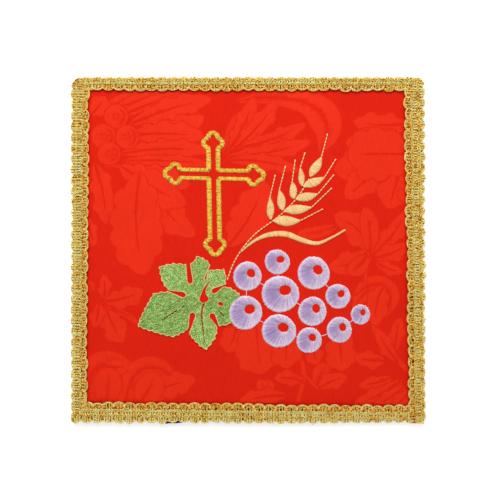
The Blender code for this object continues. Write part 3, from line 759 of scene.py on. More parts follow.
class BraidSide:
    """One side's length of braid, with its places given along and across it, in millimetres."""

    def __init__(self, number):
        self.number = number
        self.ends = (number, (number + 1) % 4)
        self.start = np.array(BRAID_CORNERS[number])
        run = np.array(BRAID_CORNERS[self.ends[1]]) - self.start
        self.length = float(np.linalg.norm(run))
        self.along = run / self.length
        self.inward = np.array((self.along[1], -self.along[0]))
        self.window = np.array(WINDOW_CORNERS[number])
        window_run = np.array(WINDOW_CORNERS[self.ends[1]]) - self.window
        self.window_slope = (window_run @ self.inward) / (window_run @ self.along)
        self.scallops = self.repeats(SCALLOP_PITCH, 0.5)
        chance = np.random.default_rng(20 + number)
        self.wander = chance.normal(0, EDGE_WANDER, (2, len(self.scallops)))

    def repeats(self, pitch, first):
        """Places along the side at a pitch, the first a share of it from the start."""
        return (np.arange(int(self.length / pitch) + 2) + first) * pitch

    def inner_edge(self, u):
        """Where the scalloped inner edge lies across the braid."""
        return INNER_DEPTH * scallop(u) + np.interp(u, self.scallops, self.wander[0])

    def outer_edge(self, u):
        """Where the scalloped outer edge lies across the braid."""
        _, _, full = self.developed(u)
        depth = OUTER_DEPTHS[self.number]
        return full - depth * scallop(u) + np.interp(u, self.scallops, self.wander[1])

    def plan_width(self, u):
        """From the outer tips to the inner ones, seen from above."""
        offset = self.window - self.start
        return offset @ self.inward + (u - offset @ self.along) * self.window_slope

    def developed(self, u):
        """The flat width, the angle rolled over the edge and the width along the surface."""
        width = self.plan_width(u)
        share = np.clip((BRAID_FLAT_WIDTH - width) / (BRAID_FLAT_WIDTH - ROLLED_PLAN_WIDTH), 0, 1)
        angle = math.pi / 2 * share
        drop = ROLLED_DROP * share
        reach = (ROLL_INNER_RADIUS + ROLL_HEIGHT) * np.sin(angle) + drop * np.cos(angle)
        flat_width = width - reach
        return flat_width, angle, flat_width + ROLL_MIDDLE_RADIUS * angle + drop

    def point(self, u, t, height):
        """Places u along, t from the inner tips and height above the underside, in metres."""
        flat_width, angle, _ = self.developed(u)
        bent = np.minimum(np.maximum(t - flat_width, 0) / ROLL_MIDDLE_RADIUS, angle)
        straight = np.maximum(t - flat_width - ROLL_MIDDLE_RADIUS * angle, 0)
        radius = ROLL_INNER_RADIUS + height
        outward = np.minimum(t, flat_width) + radius * np.sin(bent) + straight * np.cos(bent)
        outward = outward - PUCKER * scallop(u) * (1 - np.cos(bent))
        z = BRAID_BOTTOM - ROLL_INNER_RADIUS + radius * np.cos(bent) - straight * np.sin(bent)
        away = self.plan_width(u) - outward
        plan = self.start + u[..., None] * self.along + away[..., None] * self.inward
        return np.concatenate([self.rounded(plan), z[..., None]], axis=-1) * MM

    def rounded(self, plan):
        """Plan places held inside the rounded corners at both ends."""
        for number in self.ends:
            corner = np.array(BRAID_CORNERS[number])
            radius = BRAID_CORNER_RADII[number]
            sign = np.sign(corner)
            centre = corner - sign * radius
            away = plan - centre
            beyond = ((away * sign) > 0).all(axis=-1)
            reach = np.maximum(np.linalg.norm(away, axis=-1), 1e-9)
            scale = np.where(beyond & (reach > radius), radius / reach, 1.0)
            plan = centre + away * scale[..., None]
        return plan

    def within(self, u, t, slack=0.0):
        """Whether places lie on this side of the mitres at its two ends."""
        plan = self.point(u, t, np.zeros(np.shape(u)))[..., :2] / MM
        inside = np.ones(np.shape(u), bool)
        for number, hand in zip(self.ends, (1.0, -1.0)):
            corner, window = np.array(BRAID_CORNERS[number]), np.array(WINDOW_CORNERS[number])
            diagonal = (window - corner) / np.linalg.norm(window - corner)
            across = np.array((-diagonal[1], diagonal[0])) * hand
            if number != LAPPED_CORNER:
                inside &= (plan - corner) @ across > MITRE_GAP - slack
            elif self.number == LAP_SIDE:
                inside &= plan[..., 1] > corner[1] + 0.1
            else:
                over = BraidSide(LAP_SIDE)
                along, across = (plan - over.start) @ over.along, (plan - over.start) @ over.inward
                inside &= over.plan_width(along) - across < over.inner_edge(along) + OVERLAP
        return inside

    def clipped(self, u, t):
        """Rows of places cut down to their part between the mitres, and which rows are left."""
        inside = self.within(u, t)
        index = np.arange(u.shape[1])
        rows = [row for row in range(len(u)) if inside[row].sum() > 3]
        kept_u, kept_t = np.zeros((2, len(rows), len(index)))
        for place, row in enumerate(rows):
            at = np.flatnonzero(inside[row])
            spread = np.linspace(at[0], at[-1], len(index))
            kept_u[place] = np.interp(spread, index, u[row])
            kept_t[place] = np.interp(spread, index, t[row])
        return kept_u, kept_t, rows


def threads(paths, ups, half_width, half_height, sides, shades):
    """Closed threads along many paths of one count of points: corners, faces, UVs and shades."""
    count, length, _ = paths.shape
    tangents = np.gradient(paths, axis=1)
    tangents /= np.maximum(np.linalg.norm(tangents, axis=2, keepdims=True), 1e-12)
    across = np.cross(ups, tangents)
    across /= np.maximum(np.linalg.norm(across, axis=2, keepdims=True), 1e-12)
    above = np.cross(tangents, across)
    turn = 2 * math.pi * (np.arange(sides) + 0.5) / sides
    wide = (np.broadcast_to(half_width, (count, length))[..., None] * np.cos(turn))[..., None]
    high = (np.broadcast_to(half_height, (count, length))[..., None] * np.sin(turn))[..., None]
    corners = paths[:, :, None, :] + across[:, :, None, :] * wide + above[:, :, None, :] * high
    index = np.arange(count * length * sides).reshape(count, length, sides)
    around = np.roll(index, -1, axis=2)
    quads = np.stack([index[:, :-1], around[:, :-1], around[:, 1:], index[:, 1:]], axis=-1)
    stretches = np.cumsum(np.linalg.norm(np.diff(paths, axis=1), axis=2), axis=1)
    run = np.concatenate([np.zeros((count, 1)), stretches], axis=1) / MM
    near = np.broadcast_to(run[:, :-1, None], (count, length - 1, sides))
    far = np.broadcast_to(run[:, 1:, None], near.shape)
    turn_from = np.broadcast_to(np.arange(sides) / sides, near.shape)
    turn_to = turn_from + 1 / sides
    loop = ((near, turn_from), (near, turn_to), (far, turn_to), (far, turn_from))
    quad_uvs = np.stack([np.stack(pair, axis=-1) for pair in loop], axis=-2)
    caps = np.concatenate([index[:, 0, ::-1], index[:, -1, :]])
    return {
        "corners": corners.reshape(-1, 3),
        "quads": quads.reshape(-1, 4),
        "quad_uvs": quad_uvs.reshape(-1, 2),
        "caps": caps,
        "cap_uvs": np.zeros((caps.size, 2)),
        "shade": np.repeat(np.broadcast_to(shades, (count, length)).ravel(), sides),
    }


def sewn_piece(name, groups, material):
    """One piece of many threads, joined."""
    offset, loops, sizes, uvs = 0, [], [], []
    for group in groups:
        loops += [(group["quads"] + offset).ravel(), (group["caps"] + offset).ravel()]
        sizes += [np.full(len(group["quads"]), 4), np.full(len(group["caps"]), group["caps"].shape[1])]
        uvs += [group["quad_uvs"], group["cap_uvs"]]
        offset += len(group["corners"])
    loops, sizes, uvs = np.concatenate(loops), np.concatenate(sizes), np.concatenate(uvs)
    corners = np.concatenate([group["corners"] for group in groups])
    mesh = bpy.data.meshes.new(name)
    mesh.vertices.add(len(corners))
    mesh.vertices.foreach_set("co", corners.astype(np.float32).ravel())
    mesh.loops.add(len(loops))
    mesh.loops.foreach_set("vertex_index", loops.astype(np.int32))
    mesh.polygons.add(len(sizes))
    starts = np.concatenate([[0], np.cumsum(sizes)[:-1]])
    mesh.polygons.foreach_set("loop_start", starts.astype(np.int32))
    mesh.update(calc_edges=True)
    layer = mesh.uv_layers.new(name="Thread")
    layer.data.foreach_set("uv", uvs.astype(np.float32).ravel())
    shade = mesh.attributes.new("shade", "FLOAT", "POINT")
    values = np.concatenate([group["shade"] for group in groups])
    shade.data.foreach_set("value", values.astype(np.float32))
    mesh.shade_smooth()
    mesh.materials.append(material)
    piece = bpy.data.objects.new(name, mesh)
    bpy.context.scene.collection.objects.link(piece)
    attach(piece, "root")
    return piece


def surface_threads(side, u, t, height, radii, shades):
    """Threads laid on a braid side, by places along and across it."""
    paths = side.point(u, t, height)
    ups = side.point(u, t, height + 0.1) - paths
    ups /= np.linalg.norm(ups, axis=2, keepdims=True)
    return threads(paths, ups, radii[0] * MM, radii[1] * MM, THREAD_SIDES, shades)


def clipped_threads(side, u, t, height, radii, shades):
    """Threads laid on a braid side and cut off at its mitres."""
    u, t, rows = side.clipped(u, t)
    return surface_threads(side, u, t, height[rows], radii, np.clip(shades[rows], 0, 1))


def arches(side, chance):
    """The inner scallops: arches of doubled thread, each with two spokes down to the band."""
    tucks = [
        (np.array(WINDOW_CORNERS[number]) - side.start) @ side.along + lean
        for number, lean in zip(side.ends, (TUCK_LEAN, -TUCK_LEAN)) if number != LAPPED_CORNER
    ]
    middles = np.append(side.repeats(SCALLOP_PITCH, -0.5), tucks)
    shift = np.interp(middles, side.scallops, side.wander[0])[:, None]
    middles = middles[:, None]
    each = middles.shape
    turn = np.radians(np.linspace(-ARCH_TURN, ARCH_TURN, ARCH_POINTS))
    steps = np.linspace(0, 1, SPOKE_POINTS)
    groups = []
    for ring in range(2):
        reach = ARCH_REACHES[side.number] - ARCH_STEP * ring + chance.normal(0, 0.05, each)
        rise = ARCH_RISE - ARCH_STEP * ring + chance.normal(0, 0.05, each)
        u = middles + reach * np.sin(turn)
        u = u + chance.normal(0, THREAD_PLACE_SPREAD, u.shape)
        t = ARCH_CENTRE + shift - rise * np.cos(turn) + chance.normal(0, THREAD_PLACE_SPREAD, u.shape)
        height = ARCH_HEIGHT + ARCH_STACK * ring + chance.normal(0, THREAD_HEIGHT_SPREAD, each)
        shades = ARCH_SHADE - ARCH_STACK * ring + chance.normal(0, 0.14, each)
        shades = shades + chance.normal(0, 0.1, u.shape)
        groups.append(clipped_threads(side, u, t, height + 0 * u, (0.23, 0.2), shades))
    for hand in (-1, 1):
        foot = hand * SPOKE_ASIDE + chance.normal(0, 0.12, each)
        u = middles + foot * (1.35 - 0.35 * steps)
        u = u + chance.normal(0, THREAD_PLACE_SPREAD, u.shape)
        start = SPOKE_START + shift
        t = start + (BAND_START + 0.4 - start) * steps
        height = SPOKE_HEIGHT + 0.1 * np.sin(math.pi * steps)
        height = height + chance.normal(0, THREAD_HEIGHT_SPREAD, each)
        shades = SPOKE_SHADE + chance.normal(0, 0.16, each) + chance.normal(0, 0.08, u.shape)
        groups.append(clipped_threads(side, u, t, height, (0.21, 0.2), shades))
    return groups


def rungs(side, chance):
    """The paired threads that run across the band, gathered by the chains."""
    places = side.repeats(RUNG_PITCH, -0.5)[:, None]
    steps = np.linspace(0, 1, RUNG_POINTS)
    start = BAND_START + chance.normal(0, 0.14, places.shape)
    t = start + (side.outer_edge(places) - 0.1 - start) * steps
    u, t, _ = side.clipped(places + 0 * steps, t)
    each, foot = (len(u), 1), u[:, :1]
    middle = (np.floor(foot / SCALLOP_PITCH) + 0.5) * SCALLOP_PITCH
    lean = chance.normal(0, 0.1, each) * (steps - 0.5) * 2 - (foot - middle) * 0.12 * steps
    wander = chance.normal(0, 0.07, each) + chance.normal(0, 0.06, t.shape)
    lift = chance.normal(0, 0.07, each)
    pressed = sum(
        row["press"] * np.exp(-((t - row["t"]) / 0.5) ** 2)
        for row in CHAIN_ROWS if row["side"] == side.number
    )
    ends = np.minimum(steps, 1 - steps)
    groups = []
    for hand in (-1, 1):
        apart = hand * THREAD_RADIUS * (0.85 + 0.15 * np.sin(t * 2.1 + foot))
        height = RUNG_HEIGHT + lift - RUNG_PRESS * pressed - RUNG_DIVE * np.exp(-ends / 0.05)
        height = height + hand * 0.05 * np.sin(foot * 3.3) + chance.normal(0, 0.03, t.shape)
        shades = RUNG_SHADE + chance.normal(0, 0.26, each) + chance.normal(0, 0.14, t.shape)
        groups.append(surface_threads(side, u + lean + wander + apart, t, height,
                                      (THREAD_RADIUS, THREAD_RADIUS), np.clip(shades, 0.1, 1)))
    return groups


def kept_threads(side, u, t, height, radius, shades, slack=0.0):
    """Loops of thread laid on a braid side, those that cross a mitre left out."""
    kept = side.within(u, t, slack).all(axis=1)
    return surface_threads(side, u[kept], t[kept], height[kept], (radius, radius),
                           np.clip(shades[kept], 0, 1))


def chain_row(side, row, chance):
    """A row of chain stitch along the braid: each loop is a closed teardrop over the last."""
    starts = np.arange(-RUNG_PITCH, side.length, RUNG_PITCH)[:, None]
    turn = np.linspace(0, 2 * math.pi, CHAIN_POINTS)
    wide = row["width"] / 2 * np.sin(turn) * (1 + 0.3 * np.cos(turn))
    far = (1 - np.cos(turn)) / 2 * CHAIN_OVERLAP * RUNG_PITCH
    u = starts + far + chance.normal(0, 0.07, starts.shape)
    t = row["t"] + wide + chance.normal(0, 0.09, starts.shape)
    height = CHAIN_HEIGHT + row["raise"] + 0.12 * np.cos(turn) + chance.normal(0, 0.03, starts.shape)
    shades = row["shade"] + chance.normal(0, 0.16, starts.shape) + chance.normal(0, 0.08, u.shape)
    return kept_threads(side, u, t, height, row["thread"], shades, slack=0.3)


def lengthwise(side, share, sizes, chance):
    """A thread or cord along the braid, at a share of the way from its inner edge to its outer."""
    u = np.arange(-1.0, side.length + 1, sizes["step"])
    t = np.maximum(side.inner_edge(u) + 0.5, (side.outer_edge(u) - 0.25) * share)
    knots = np.arange(-3, side.length + 3, 1.7)
    t = t + np.interp(u, knots, chance.normal(0, 0.09, len(knots)))
    kept = np.flatnonzero(side.within(u, t, 0.5))
    if len(kept) < 8:
        return []
    u, t = u[kept[0]:kept[-1] + 1], t[kept[0]:kept[-1] + 1]
    wind = sizes["wind"]
    groups = []
    for strand in range(2 if wind else 1):
        turn = 2 * math.pi * u / CORD_LAY + math.pi * strand
        shades = np.clip(sizes["shade"] + chance.normal(0, 0.1, len(u)), 0, 1)
        # Painted shade: the threads go darkest where holes through the braid would lie in shade
        for row in (row for row in PAINTED_HOLE_SHADOWS if row["side"] == side.number):
            off_middle = np.abs((u / SCALLOP_PITCH) % 1.0 - 0.5) * SCALLOP_PITCH
            stretch = (u > row["from"]) & (u < row["to"]) & (np.abs(t - row["t"]) < SPOT_HALF_WIDTH)
            shades[(off_middle < SPOT_HALF_LENGTH) & stretch] = HOLE_SHADOW_SHADE
        height = sizes["height"] + wind * np.sin(turn)
        groups.append(surface_threads(side, u[None], (t + wind * np.cos(turn))[None], height[None],
                                      (sizes["radius"], sizes["radius"]), shades[None]))
    return groups


def picots(side, chance):
    """Loops of thread round each outer scallop, some standing farther out than others."""
    loops = np.arange(int(side.length / SCALLOP_PITCH * 3) + 1)
    starts = (loops // 3 + PICOT_STARTS[loops % 3])[:, None] * SCALLOP_PITCH
    turn = np.linspace(0, 1, 11)
    bow = np.sin(math.pi * turn)
    u = starts + turn * PICOT_LENGTH + chance.normal(0, 0.1, starts.shape)
    reach = PICOT_REACH + chance.normal(0, 0.17, starts.shape)
    t = side.outer_edge(u) - PICOT_ROOT + reach * bow
    height = PICOT_HEIGHT + 0.16 * bow + chance.normal(0, THREAD_HEIGHT_SPREAD, starts.shape)
    shades = PICOT_SHADE + chance.normal(0, 0.18, starts.shape) + 0 * u
    return kept_threads(side, u, t, height, PICOT_RADIUS, shades)


def make_wound_thread_group():
    """A thread's glints and its wraps: a tone, a roughness and a normal that change along it."""
    tree = bpy.data.node_groups.new("Wound thread", "ShaderNodeTree")
    for name in ("Shade", "Glint Scale", "Glint Detail", "Glint Spread", "Glint Shift", "Wraps",
                 "Plies", "Depth", "Hollow Roughness", "Crown Roughness"):
        tree.interface.new_socket(name, in_out="INPUT", socket_type="NodeSocketFloat")
    for name, kind in (("Tone", "Float"), ("Roughness", "Float"), ("Normal", "Vector")):
        tree.interface.new_socket(name, in_out="OUTPUT", socket_type=f"NodeSocket{kind}")
    given = add_node(tree, "NodeGroupInput").outputs
    place = add_node(tree, "ShaderNodeTexCoord").outputs["Object"]
    glints = add_node(tree, "ShaderNodeTexNoise", {
        "Vector": place, "Scale": given["Glint Scale"], "Detail": given["Glint Detail"],
    }).outputs[0]
    glitter = calculate(tree, "MULTIPLY_ADD", glints, given["Glint Spread"], given["Glint Shift"])
    where = add_node(tree, "ShaderNodeUVMap", uv_map="Thread").outputs[0]
    axes = add_node(tree, "ShaderNodeSeparateXYZ", {0: where}).outputs
    slant = calculate(tree, "ADD", calculate(tree, "MULTIPLY", axes[0], given["Wraps"]),
                      calculate(tree, "MULTIPLY", axes[1], given["Plies"]))
    crown = calculate(tree, "SINE", calculate(tree, "MULTIPLY", slant, 2 * math.pi))
    roughness = add_node(tree, "ShaderNodeMapRange", {
        "Value": crown, "From Min": -1.0,
        "To Min": given["Hollow Roughness"], "To Max": given["Crown Roughness"],
    })
    bump = add_node(tree, "ShaderNodeBump", {"Height": crown, "Distance": given["Depth"]})
    add_node(tree, "NodeGroupOutput", {
        "Tone": calculate(tree, "ADD", given["Shade"], glitter),
        "Roughness": roughness.outputs[0], "Normal": bump.outputs[0],
    })
    return tree


wound_thread = make_wound_thread_group()


def make_thread(name, colours, winding):
    """A thread's material: its colours from the hollows to the glints, and its own winding."""
    material, tree, shader = start_material(name)
    shade = add_node(tree, "ShaderNodeAttribute", attribute_name="shade").outputs["Fac"]
    thread = add_node(tree, "ShaderNodeGroup", node_tree=wound_thread)
    tree.links.new(shade, thread.inputs["Shade"])
    for key, value in winding.items():
        thread.inputs[key].default_value = value
    tones = add_node(tree, "ShaderNodeValToRGB", {"Fac": thread.outputs["Tone"]})
    ramp = tones.color_ramp.elements
    ramp[0].color, ramp[1].color = linear(*colours[0][1]), linear(*colours[-1][1])
    for position, colour in colours[1:-1]:
        ramp.new(position).color = linear(*colour)
    tree.links.new(tones.outputs["Color"], shader["Base Color"])
    tree.links.new(thread.outputs["Roughness"], shader["Roughness"])
    tree.links.new(thread.outputs["Normal"], shader["Normal"])
    return material


def make_gold_thread():
    """Thin gilt foil wound round a core: metallic, with fine slanting wraps along each thread."""
    colours = ((0.0, (108, 52, 10)), (0.25, (252, 160, 42)), (0.55, (255, 226, 94)),
               (1.0, (255, 250, 178)))
    gold = make_thread("gold thread", colours, {
        "Glint Scale": 1500, "Glint Detail": 1, "Glint Spread": 2.4, "Glint Shift": -1.02,
        "Wraps": 4.5, "Plies": 1, "Depth": 0.00004,
        "Hollow Roughness": 0.42, "Crown Roughness": 0.24,
    })
    shader = gold.node_tree.nodes["Principled BSDF"].inputs
    shader["Metallic"].default_value = 0.5
    shader["Specular IOR Level"].default_value = 0.3
    return gold


gold = make_gold_thread()
for number, side_name in enumerate(("braid_top", "braid_right", "braid_bottom", "braid_left")):
    side = BraidSide(number)
    chance = np.random.default_rng(40 + number)
    groups = arches(side, chance) + rungs(side, chance)
    groups += [chain_row(side, row, chance) for row in CHAIN_ROWS if row["side"] == number]
    for share in np.linspace(0.08, 0.97, GROUND_THREADS):
        groups += lengthwise(side, share, SHADOWED_GROUND, chance)
    groups += lengthwise(side, 1.0, EDGE_CORD, chance)
    groups.append(picots(side, chance))
    braid = sewn_piece(f"{side_name}_crocheted", groups, gold)
    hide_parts(side_name)

# Cross: a budded outline in machine satin stitch, one zigzag of yellow rayon thread whose
# stitches lie side by side across the line
CROSS_CENTRE = Vector((-16.6, 36.5))
CROSS_ARMS = {"right": 24.3, "top": 20.3, "left": 23.7, "bottom": 39.0}
CROSS_TURNS = {"right": 0, "top": 90, "left": 180, "bottom": 270}
CROSS_HALF_BEAM = {"upright": 2.3, "crossbar": 2.0}
CROSS_LEAN = 0.02
CROSS_RISE = 0.42
CROSS_SHADE = 0.52
BUD_HALF = table(
    "back aside",
    (7.4, 2.3),
    (7.0, 3.9),
    (5.3, 4.8),
    (3.6, 4.1),
    (2.7, 2.4),
    (0.7, 1.8),
)
SATIN_WIDTH = 1.75
PULL_WIDTH = 0.4
SATIN_PITCH = 0.3
SATIN_SLANT = 2
SATIN_PROFILE = table(
    "along lift",
    (0.0, -0.1),
    (0.06, 0.55),
    (0.28, 0.97),
    (0.72, 0.97),
    (0.94, 0.55),
    (1.0, -0.1),
)
STITCH_HALF_WIDTH = 0.18
STITCH_FLATNESS = 0.8
EDGE_UNEVENNESS = 0.08


def cross_outline():
    """The middle of the satin line, once round the cross, anticlockwise from the right arm."""
    outline = []
    for arm, degrees in CROSS_TURNS.items():
        along = turned(Vector((1.0, 0.0)), degrees)
        aside = turned(along, 90)
        length = CROSS_ARMS[arm]
        level = arm in ("right", "left")
        beam = CROSS_HALF_BEAM["crossbar" if level else "upright"]
        other = CROSS_HALF_BEAM["upright" if level else "crossbar"]
        lower = [along * other - aside * beam]
        for k, row in enumerate(BUD_HALF):
            half = beam if k == 0 else row["aside"]
            lower.append(along * (length - row["back"]) - aside * half)
        outline += lower
        outline.append(along * length)
        outline += [point - 2 * aside * point.dot(aside) for point in reversed(lower[1:])]
    return [
        CROSS_CENTRE + point + Vector((-CROSS_LEAN * point.y, -CROSS_LEAN * point.x))
        for point in outline
    ]


def spaced(line, pitch, closed=False):
    """Places at an even pitch along a line in the plane, as an array."""
    line = np.array([(point[0], point[1]) for point in line])
    if closed:
        line = np.vstack([line, line[:1]])
    run = np.concatenate([[0], np.cumsum(np.linalg.norm(np.diff(line, axis=0), axis=1))])
    count = max(round(run[-1] / pitch), 1)
    at = np.linspace(0, run[-1], count + 1)[:count if closed else count + 1]
    return np.column_stack([np.interp(at, run, line[:, 0]), np.interp(at, run, line[:, 1])])


def softened(places, reach):
    """A closed line of places with its corners rounded by averaging over neighbours."""
    shifts = range(-reach, reach + 1)
    return sum(np.roll(places, shift, axis=0) for shift in shifts) / len(shifts)


def satin(starts, ends, rise, shades, sides=5, half_width=STITCH_HALF_WIDTH):
    """Raised stitches from one edge to the other, each an arch of thread with its feet sunk."""
    shares = np.array([row["along"] for row in SATIN_PROFILE])
    lift = np.array([row["lift"] for row in SATIN_PROFILE])
    flat = starts[:, None, :] + (ends - starts)[:, None, :] * shares[None, :, None]
    z = FACE_TOP + lift[None, :] * np.full((len(starts), 1), rise)
    paths = np.concatenate([flat, z[..., None]], axis=2) * MM
    across = np.cross(np.array((0.0, 0.0, 1.0)), paths[:, -1:] - paths[:, :1])
    ups = np.cross(np.gradient(paths, axis=1), np.broadcast_to(across, paths.shape))
    ups /= np.maximum(np.linalg.norm(ups, axis=2, keepdims=True), 1e-15)
    shade = np.reshape(shades, (len(starts), -1)) * np.ones((1, len(shares)))
    return threads(paths, ups, half_width * MM, half_width * STITCH_FLATNESS * MM, sides, shade)


def make_rayon(name, dark, middle, light, glitter=0.8):
    """Shiny rayon embroidery thread: two plies that catch the light along their slant."""
    rayon = make_thread(name, ((0.0, dark), (0.5, middle), (1.0, light)), {
        "Glint Scale": 3200, "Glint Detail": 0.5, "Glint Spread": glitter,
        "Glint Shift": -glitter / 2, "Wraps": 2.2, "Plies": 2, "Depth": 0.00003,
        "Hollow Roughness": 0.5, "Crown Roughness": 0.34,
    })
    shader = rayon.node_tree.nodes["Principled BSDF"].inputs
    shader["Specular IOR Level"].default_value = 0.5
    shader["Sheen Weight"].default_value = 0.15
    return rayon


chance = np.random.default_rng(7)
yellow = make_rayon("yellow rayon", (158, 104, 0), (240, 186, 26), (255, 236, 104), glitter=1.9)
line = softened(spaced(cross_outline(), SATIN_PITCH / 2, closed=True), 2)
line = line[:len(line) // 2 * 2]
ahead = np.roll(line, -1, axis=0) - np.roll(line, 1, axis=0)
ahead /= np.linalg.norm(ahead, axis=1, keepdims=True)
outward = np.column_stack([ahead[:, 1], -ahead[:, 0]])
half = (SATIN_WIDTH + PULL_WIDTH * np.abs(ahead[:, 1:])) / 2
outer_edge = line + outward * (half + chance.normal(0, EDGE_UNEVENNESS, half.shape))
inner_edge = line - outward * (half + chance.normal(0, EDGE_UNEVENNESS, half.shape))
inner_edge = np.roll(inner_edge, -SATIN_SLANT, axis=0)
count = len(line) // 2
shades = CROSS_SHADE + chance.normal(0, 0.1, (count, 1)) + chance.normal(0, 0.26, (count, 6))
rises = CROSS_RISE + chance.normal(0, 0.02, (count, 1))
stitches = satin(outer_edge[::2], inner_edge[::2], rises, np.clip(shades, 0, 1))
cross = sewn_piece("cross_satin", [stitches], yellow)
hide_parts("cross")

# Ear of wheat: a stalk and awns in short running stitches, and nine grains and one leaf blade
# in satin, all of pale straw rayon
STALK = ((-10.1, -14.7), (-6.9, -6.2), (-2.0, 1.6), (4.2, 8.4), (11.5, 13.7), (18.2, 19.2),
         (24.6, 26.4), (29.6, 34.4))
GRAINS = table(
    "foot top awn width",
    ((11.1, 14.9), (10.5, 25.2), (13.2, 36.3), 3.6),
    ((16.9, 19.3), (15.1, 28.9), (18.1, 40.6), 4.1),
    ((22.3, 24.7), (21.3, 32.9), (22.8, 43.6), 3.7),
    ((26.3, 31.0), (25.2, 39.6), (27.5, 46.9), 3.1),
    ((12.4, 13.9), (25.3, 14.2), (36.2, 19.8), 5.0),
    ((17.6, 18.7), (30.7, 20.6), (40.5, 30.0), 4.6),
    ((23.2, 24.4), (33.7, 27.0), (41.5, 36.4), 4.3),
    ((26.9, 30.5), (36.9, 35.0), (42.4, 43.9), 4.3),
    ((30.2, 35.4), (35.5, 44.9), (38.4, 56.1), 4.4),
)
BLADE = table(
    "x y width",
    (-3.0, -0.7, 0.4),
    (-0.3, 1.9, 0.9),
    (4.9, 5.4, 1.5),
    (11.0, 7.5, 2.3),
    (18.6, 7.6, 2.6),
    (26.0, 4.8, 2.3),
    (33.4, 3.2, 1.7),
    (40.4, 6.0, 1.0),
    (47.1, 9.8, 0.8),
)
GRAIN_SHARES = np.linspace(0, 1, 13)
GRAIN_BELLY = 0.82
GRAIN_FULLNESS = 0.85
GRAIN_FOOT_WIDTH = 0.6
GRAIN_SLANT = 0.35
GRAIN_RISE = 0.55
BLADE_SLANT = 0.25
BLADE_RISE = 0.5
RUN_STITCH = 1.75
RUN_GAP = 0.65
AWN_GAP = 0.42
KNOT_SHARE = 0.05


def running(line, shade, length=RUN_STITCH, gap=RUN_GAP, half_width=0.33, rise=0.5):
    """Running stitches end to end along a line, with the needle's gap between them."""
    marks = spaced(line, length)
    ahead = np.diff(marks, axis=0)
    ahead /= np.linalg.norm(ahead, axis=1, keepdims=True)
    starts = marks[:-1] + ahead * gap / 2
    ends = marks[1:] - ahead * gap / 2
    shades = np.clip(shade + chance.normal(0, 0.12, len(starts)), 0, 1)
    return satin(starts, ends, rise, shades, half_width=half_width)


def satin_strip(line, widths, slant, rise, shade):
    """Satin across a strip of changing width: the stitches lean along it by the slant."""
    line = np.array([(point[0], point[1]) for point in line])
    run = np.concatenate([[0], np.cumsum(np.linalg.norm(np.diff(line, axis=0), axis=1))])
    at = np.arange(0.1, run[-1], SATIN_PITCH)
    places = np.column_stack([np.interp(at, run, line[:, k]) for k in (0, 1)])
    ahead = np.gradient(places, axis=0)
    ahead /= np.linalg.norm(ahead, axis=1, keepdims=True)
    aside = np.column_stack([ahead[:, 1], -ahead[:, 0]])
    half = (np.interp(at, run, widths) / 2 + chance.normal(0, 0.05, len(at)))[:, None]
    starts = places + aside * half + ahead * half * slant
    ends = places - aside * half - ahead * half * slant
    shades = np.clip(shade + chance.normal(0, 0.15, len(at)), 0, 1)
    return satin(starts, ends, rise, shades)


straw = make_rayon("straw rayon", (222, 160, 84), (246, 204, 134), (255, 232, 182))
for number, row in enumerate(GRAINS, start=1):
    foot, top, awn = (np.array(row[key]) for key in ("foot", "top", "awn"))
    body = foot + (top - foot) * GRAIN_SHARES[:, None]
    swell = np.sin(np.pi * GRAIN_SHARES ** GRAIN_BELLY) ** GRAIN_FULLNESS
    widths = np.maximum(row["width"] * swell, GRAIN_FOOT_WIDTH)
    groups = [
        satin_strip(body, widths, GRAIN_SLANT, GRAIN_RISE, 0.5),
        running([top, awn], 0.6, gap=AWN_GAP, half_width=0.28),
        running([awn - (awn - top) * KNOT_SHARE, awn], 0.8, half_width=0.36),
    ]
    grain = sewn_piece(f"wheat_grain_{number}_satin", groups, straw)
    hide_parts(f"wheat_grain_{number}")
stalk_line = evenly([Vector(point) for point in STALK], CURVE_STEPS)
stalk = sewn_piece("wheat_stalk_run", [running(stalk_line, 0.6)], straw)
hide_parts("wheat_stalk")
blade_line = evenly([Vector((row["x"], row["y"])) for row in BLADE], CURVE_STEPS)
blade_widths = evenly([row["width"] for row in BLADE], CURVE_STEPS)
blade_stitches = satin_strip(blade_line, blade_widths, BLADE_SLANT, BLADE_RISE, 0.5)
blade = sewn_piece("wheat_blade_satin", [blade_stitches], straw)
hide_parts("wheat_blade")

# Vine leaf: filled with rows of short staggered stitches of green rayon, each lobe in its own
# direction, round two holes left open. It is outlined in straw running stitch, and its veins
# are slits in the filling, with short stitches in them painted dark brown for the shade there
LEAF_LOBES = table(
    "first up tip down last slot gap",
    ((306, 13), (329, 17), (14, 17.5), (28, 14.5), (39, 12.5), (52, 6.5), 3.0),
    ((42, 14), (52, 16.6), (58, 18.8), (67, 16.8), (81, 16), (86, 11), 1.4),
    ((82, 18.4), (85, 20), (97, 22.5), (102, 20), (108, 20), (124, 11), 3.0),
    ((115, 20), (128, 23.5), (140, 27), (150, 22.5), (159, 17.5), (156, 9), 3.0),
    ((164, 18), (170, 24), (199, 33), (227, 21.5), (239, 14), (222, 6.5), 3.2),
    ((247, 16), (260, 18.5), (273, 22), (287, 17.5), (300, 13), (307, 6), 3.2),
)
LEAF_JOINT = Vector((-21.6, -25.7))
LOBE_CORNERS = ("first", "up", "tip", "down", "last")
FLANK_BOW = 0.02
TOOTH_PITCH = 3.0
TOOTH_HEIGHT = 0.85
TOOTH_RISES = ((0.0, 1.0), (0.3, 0.0), (0.65, 0.4))
SLOT_TURNS = (-90, -60, -30, 0, 30, 60, 90)
GRAPE_OVER_LEAF = {"middle": Vector((-1.3, -30.3)), "radius": 8.1, "tucked": 0.5}
ROW_PITCH = 0.36
FILL_STITCH = 1.15
FILL_RISE = 0.4
FILL_HALF_WIDTH = 0.2
FILL_TURNS = (35, 120, 70, 150, 20, 110)
FILL_SHADES = (0.44, 0.54)
SHORTEST_ROW = 0.25
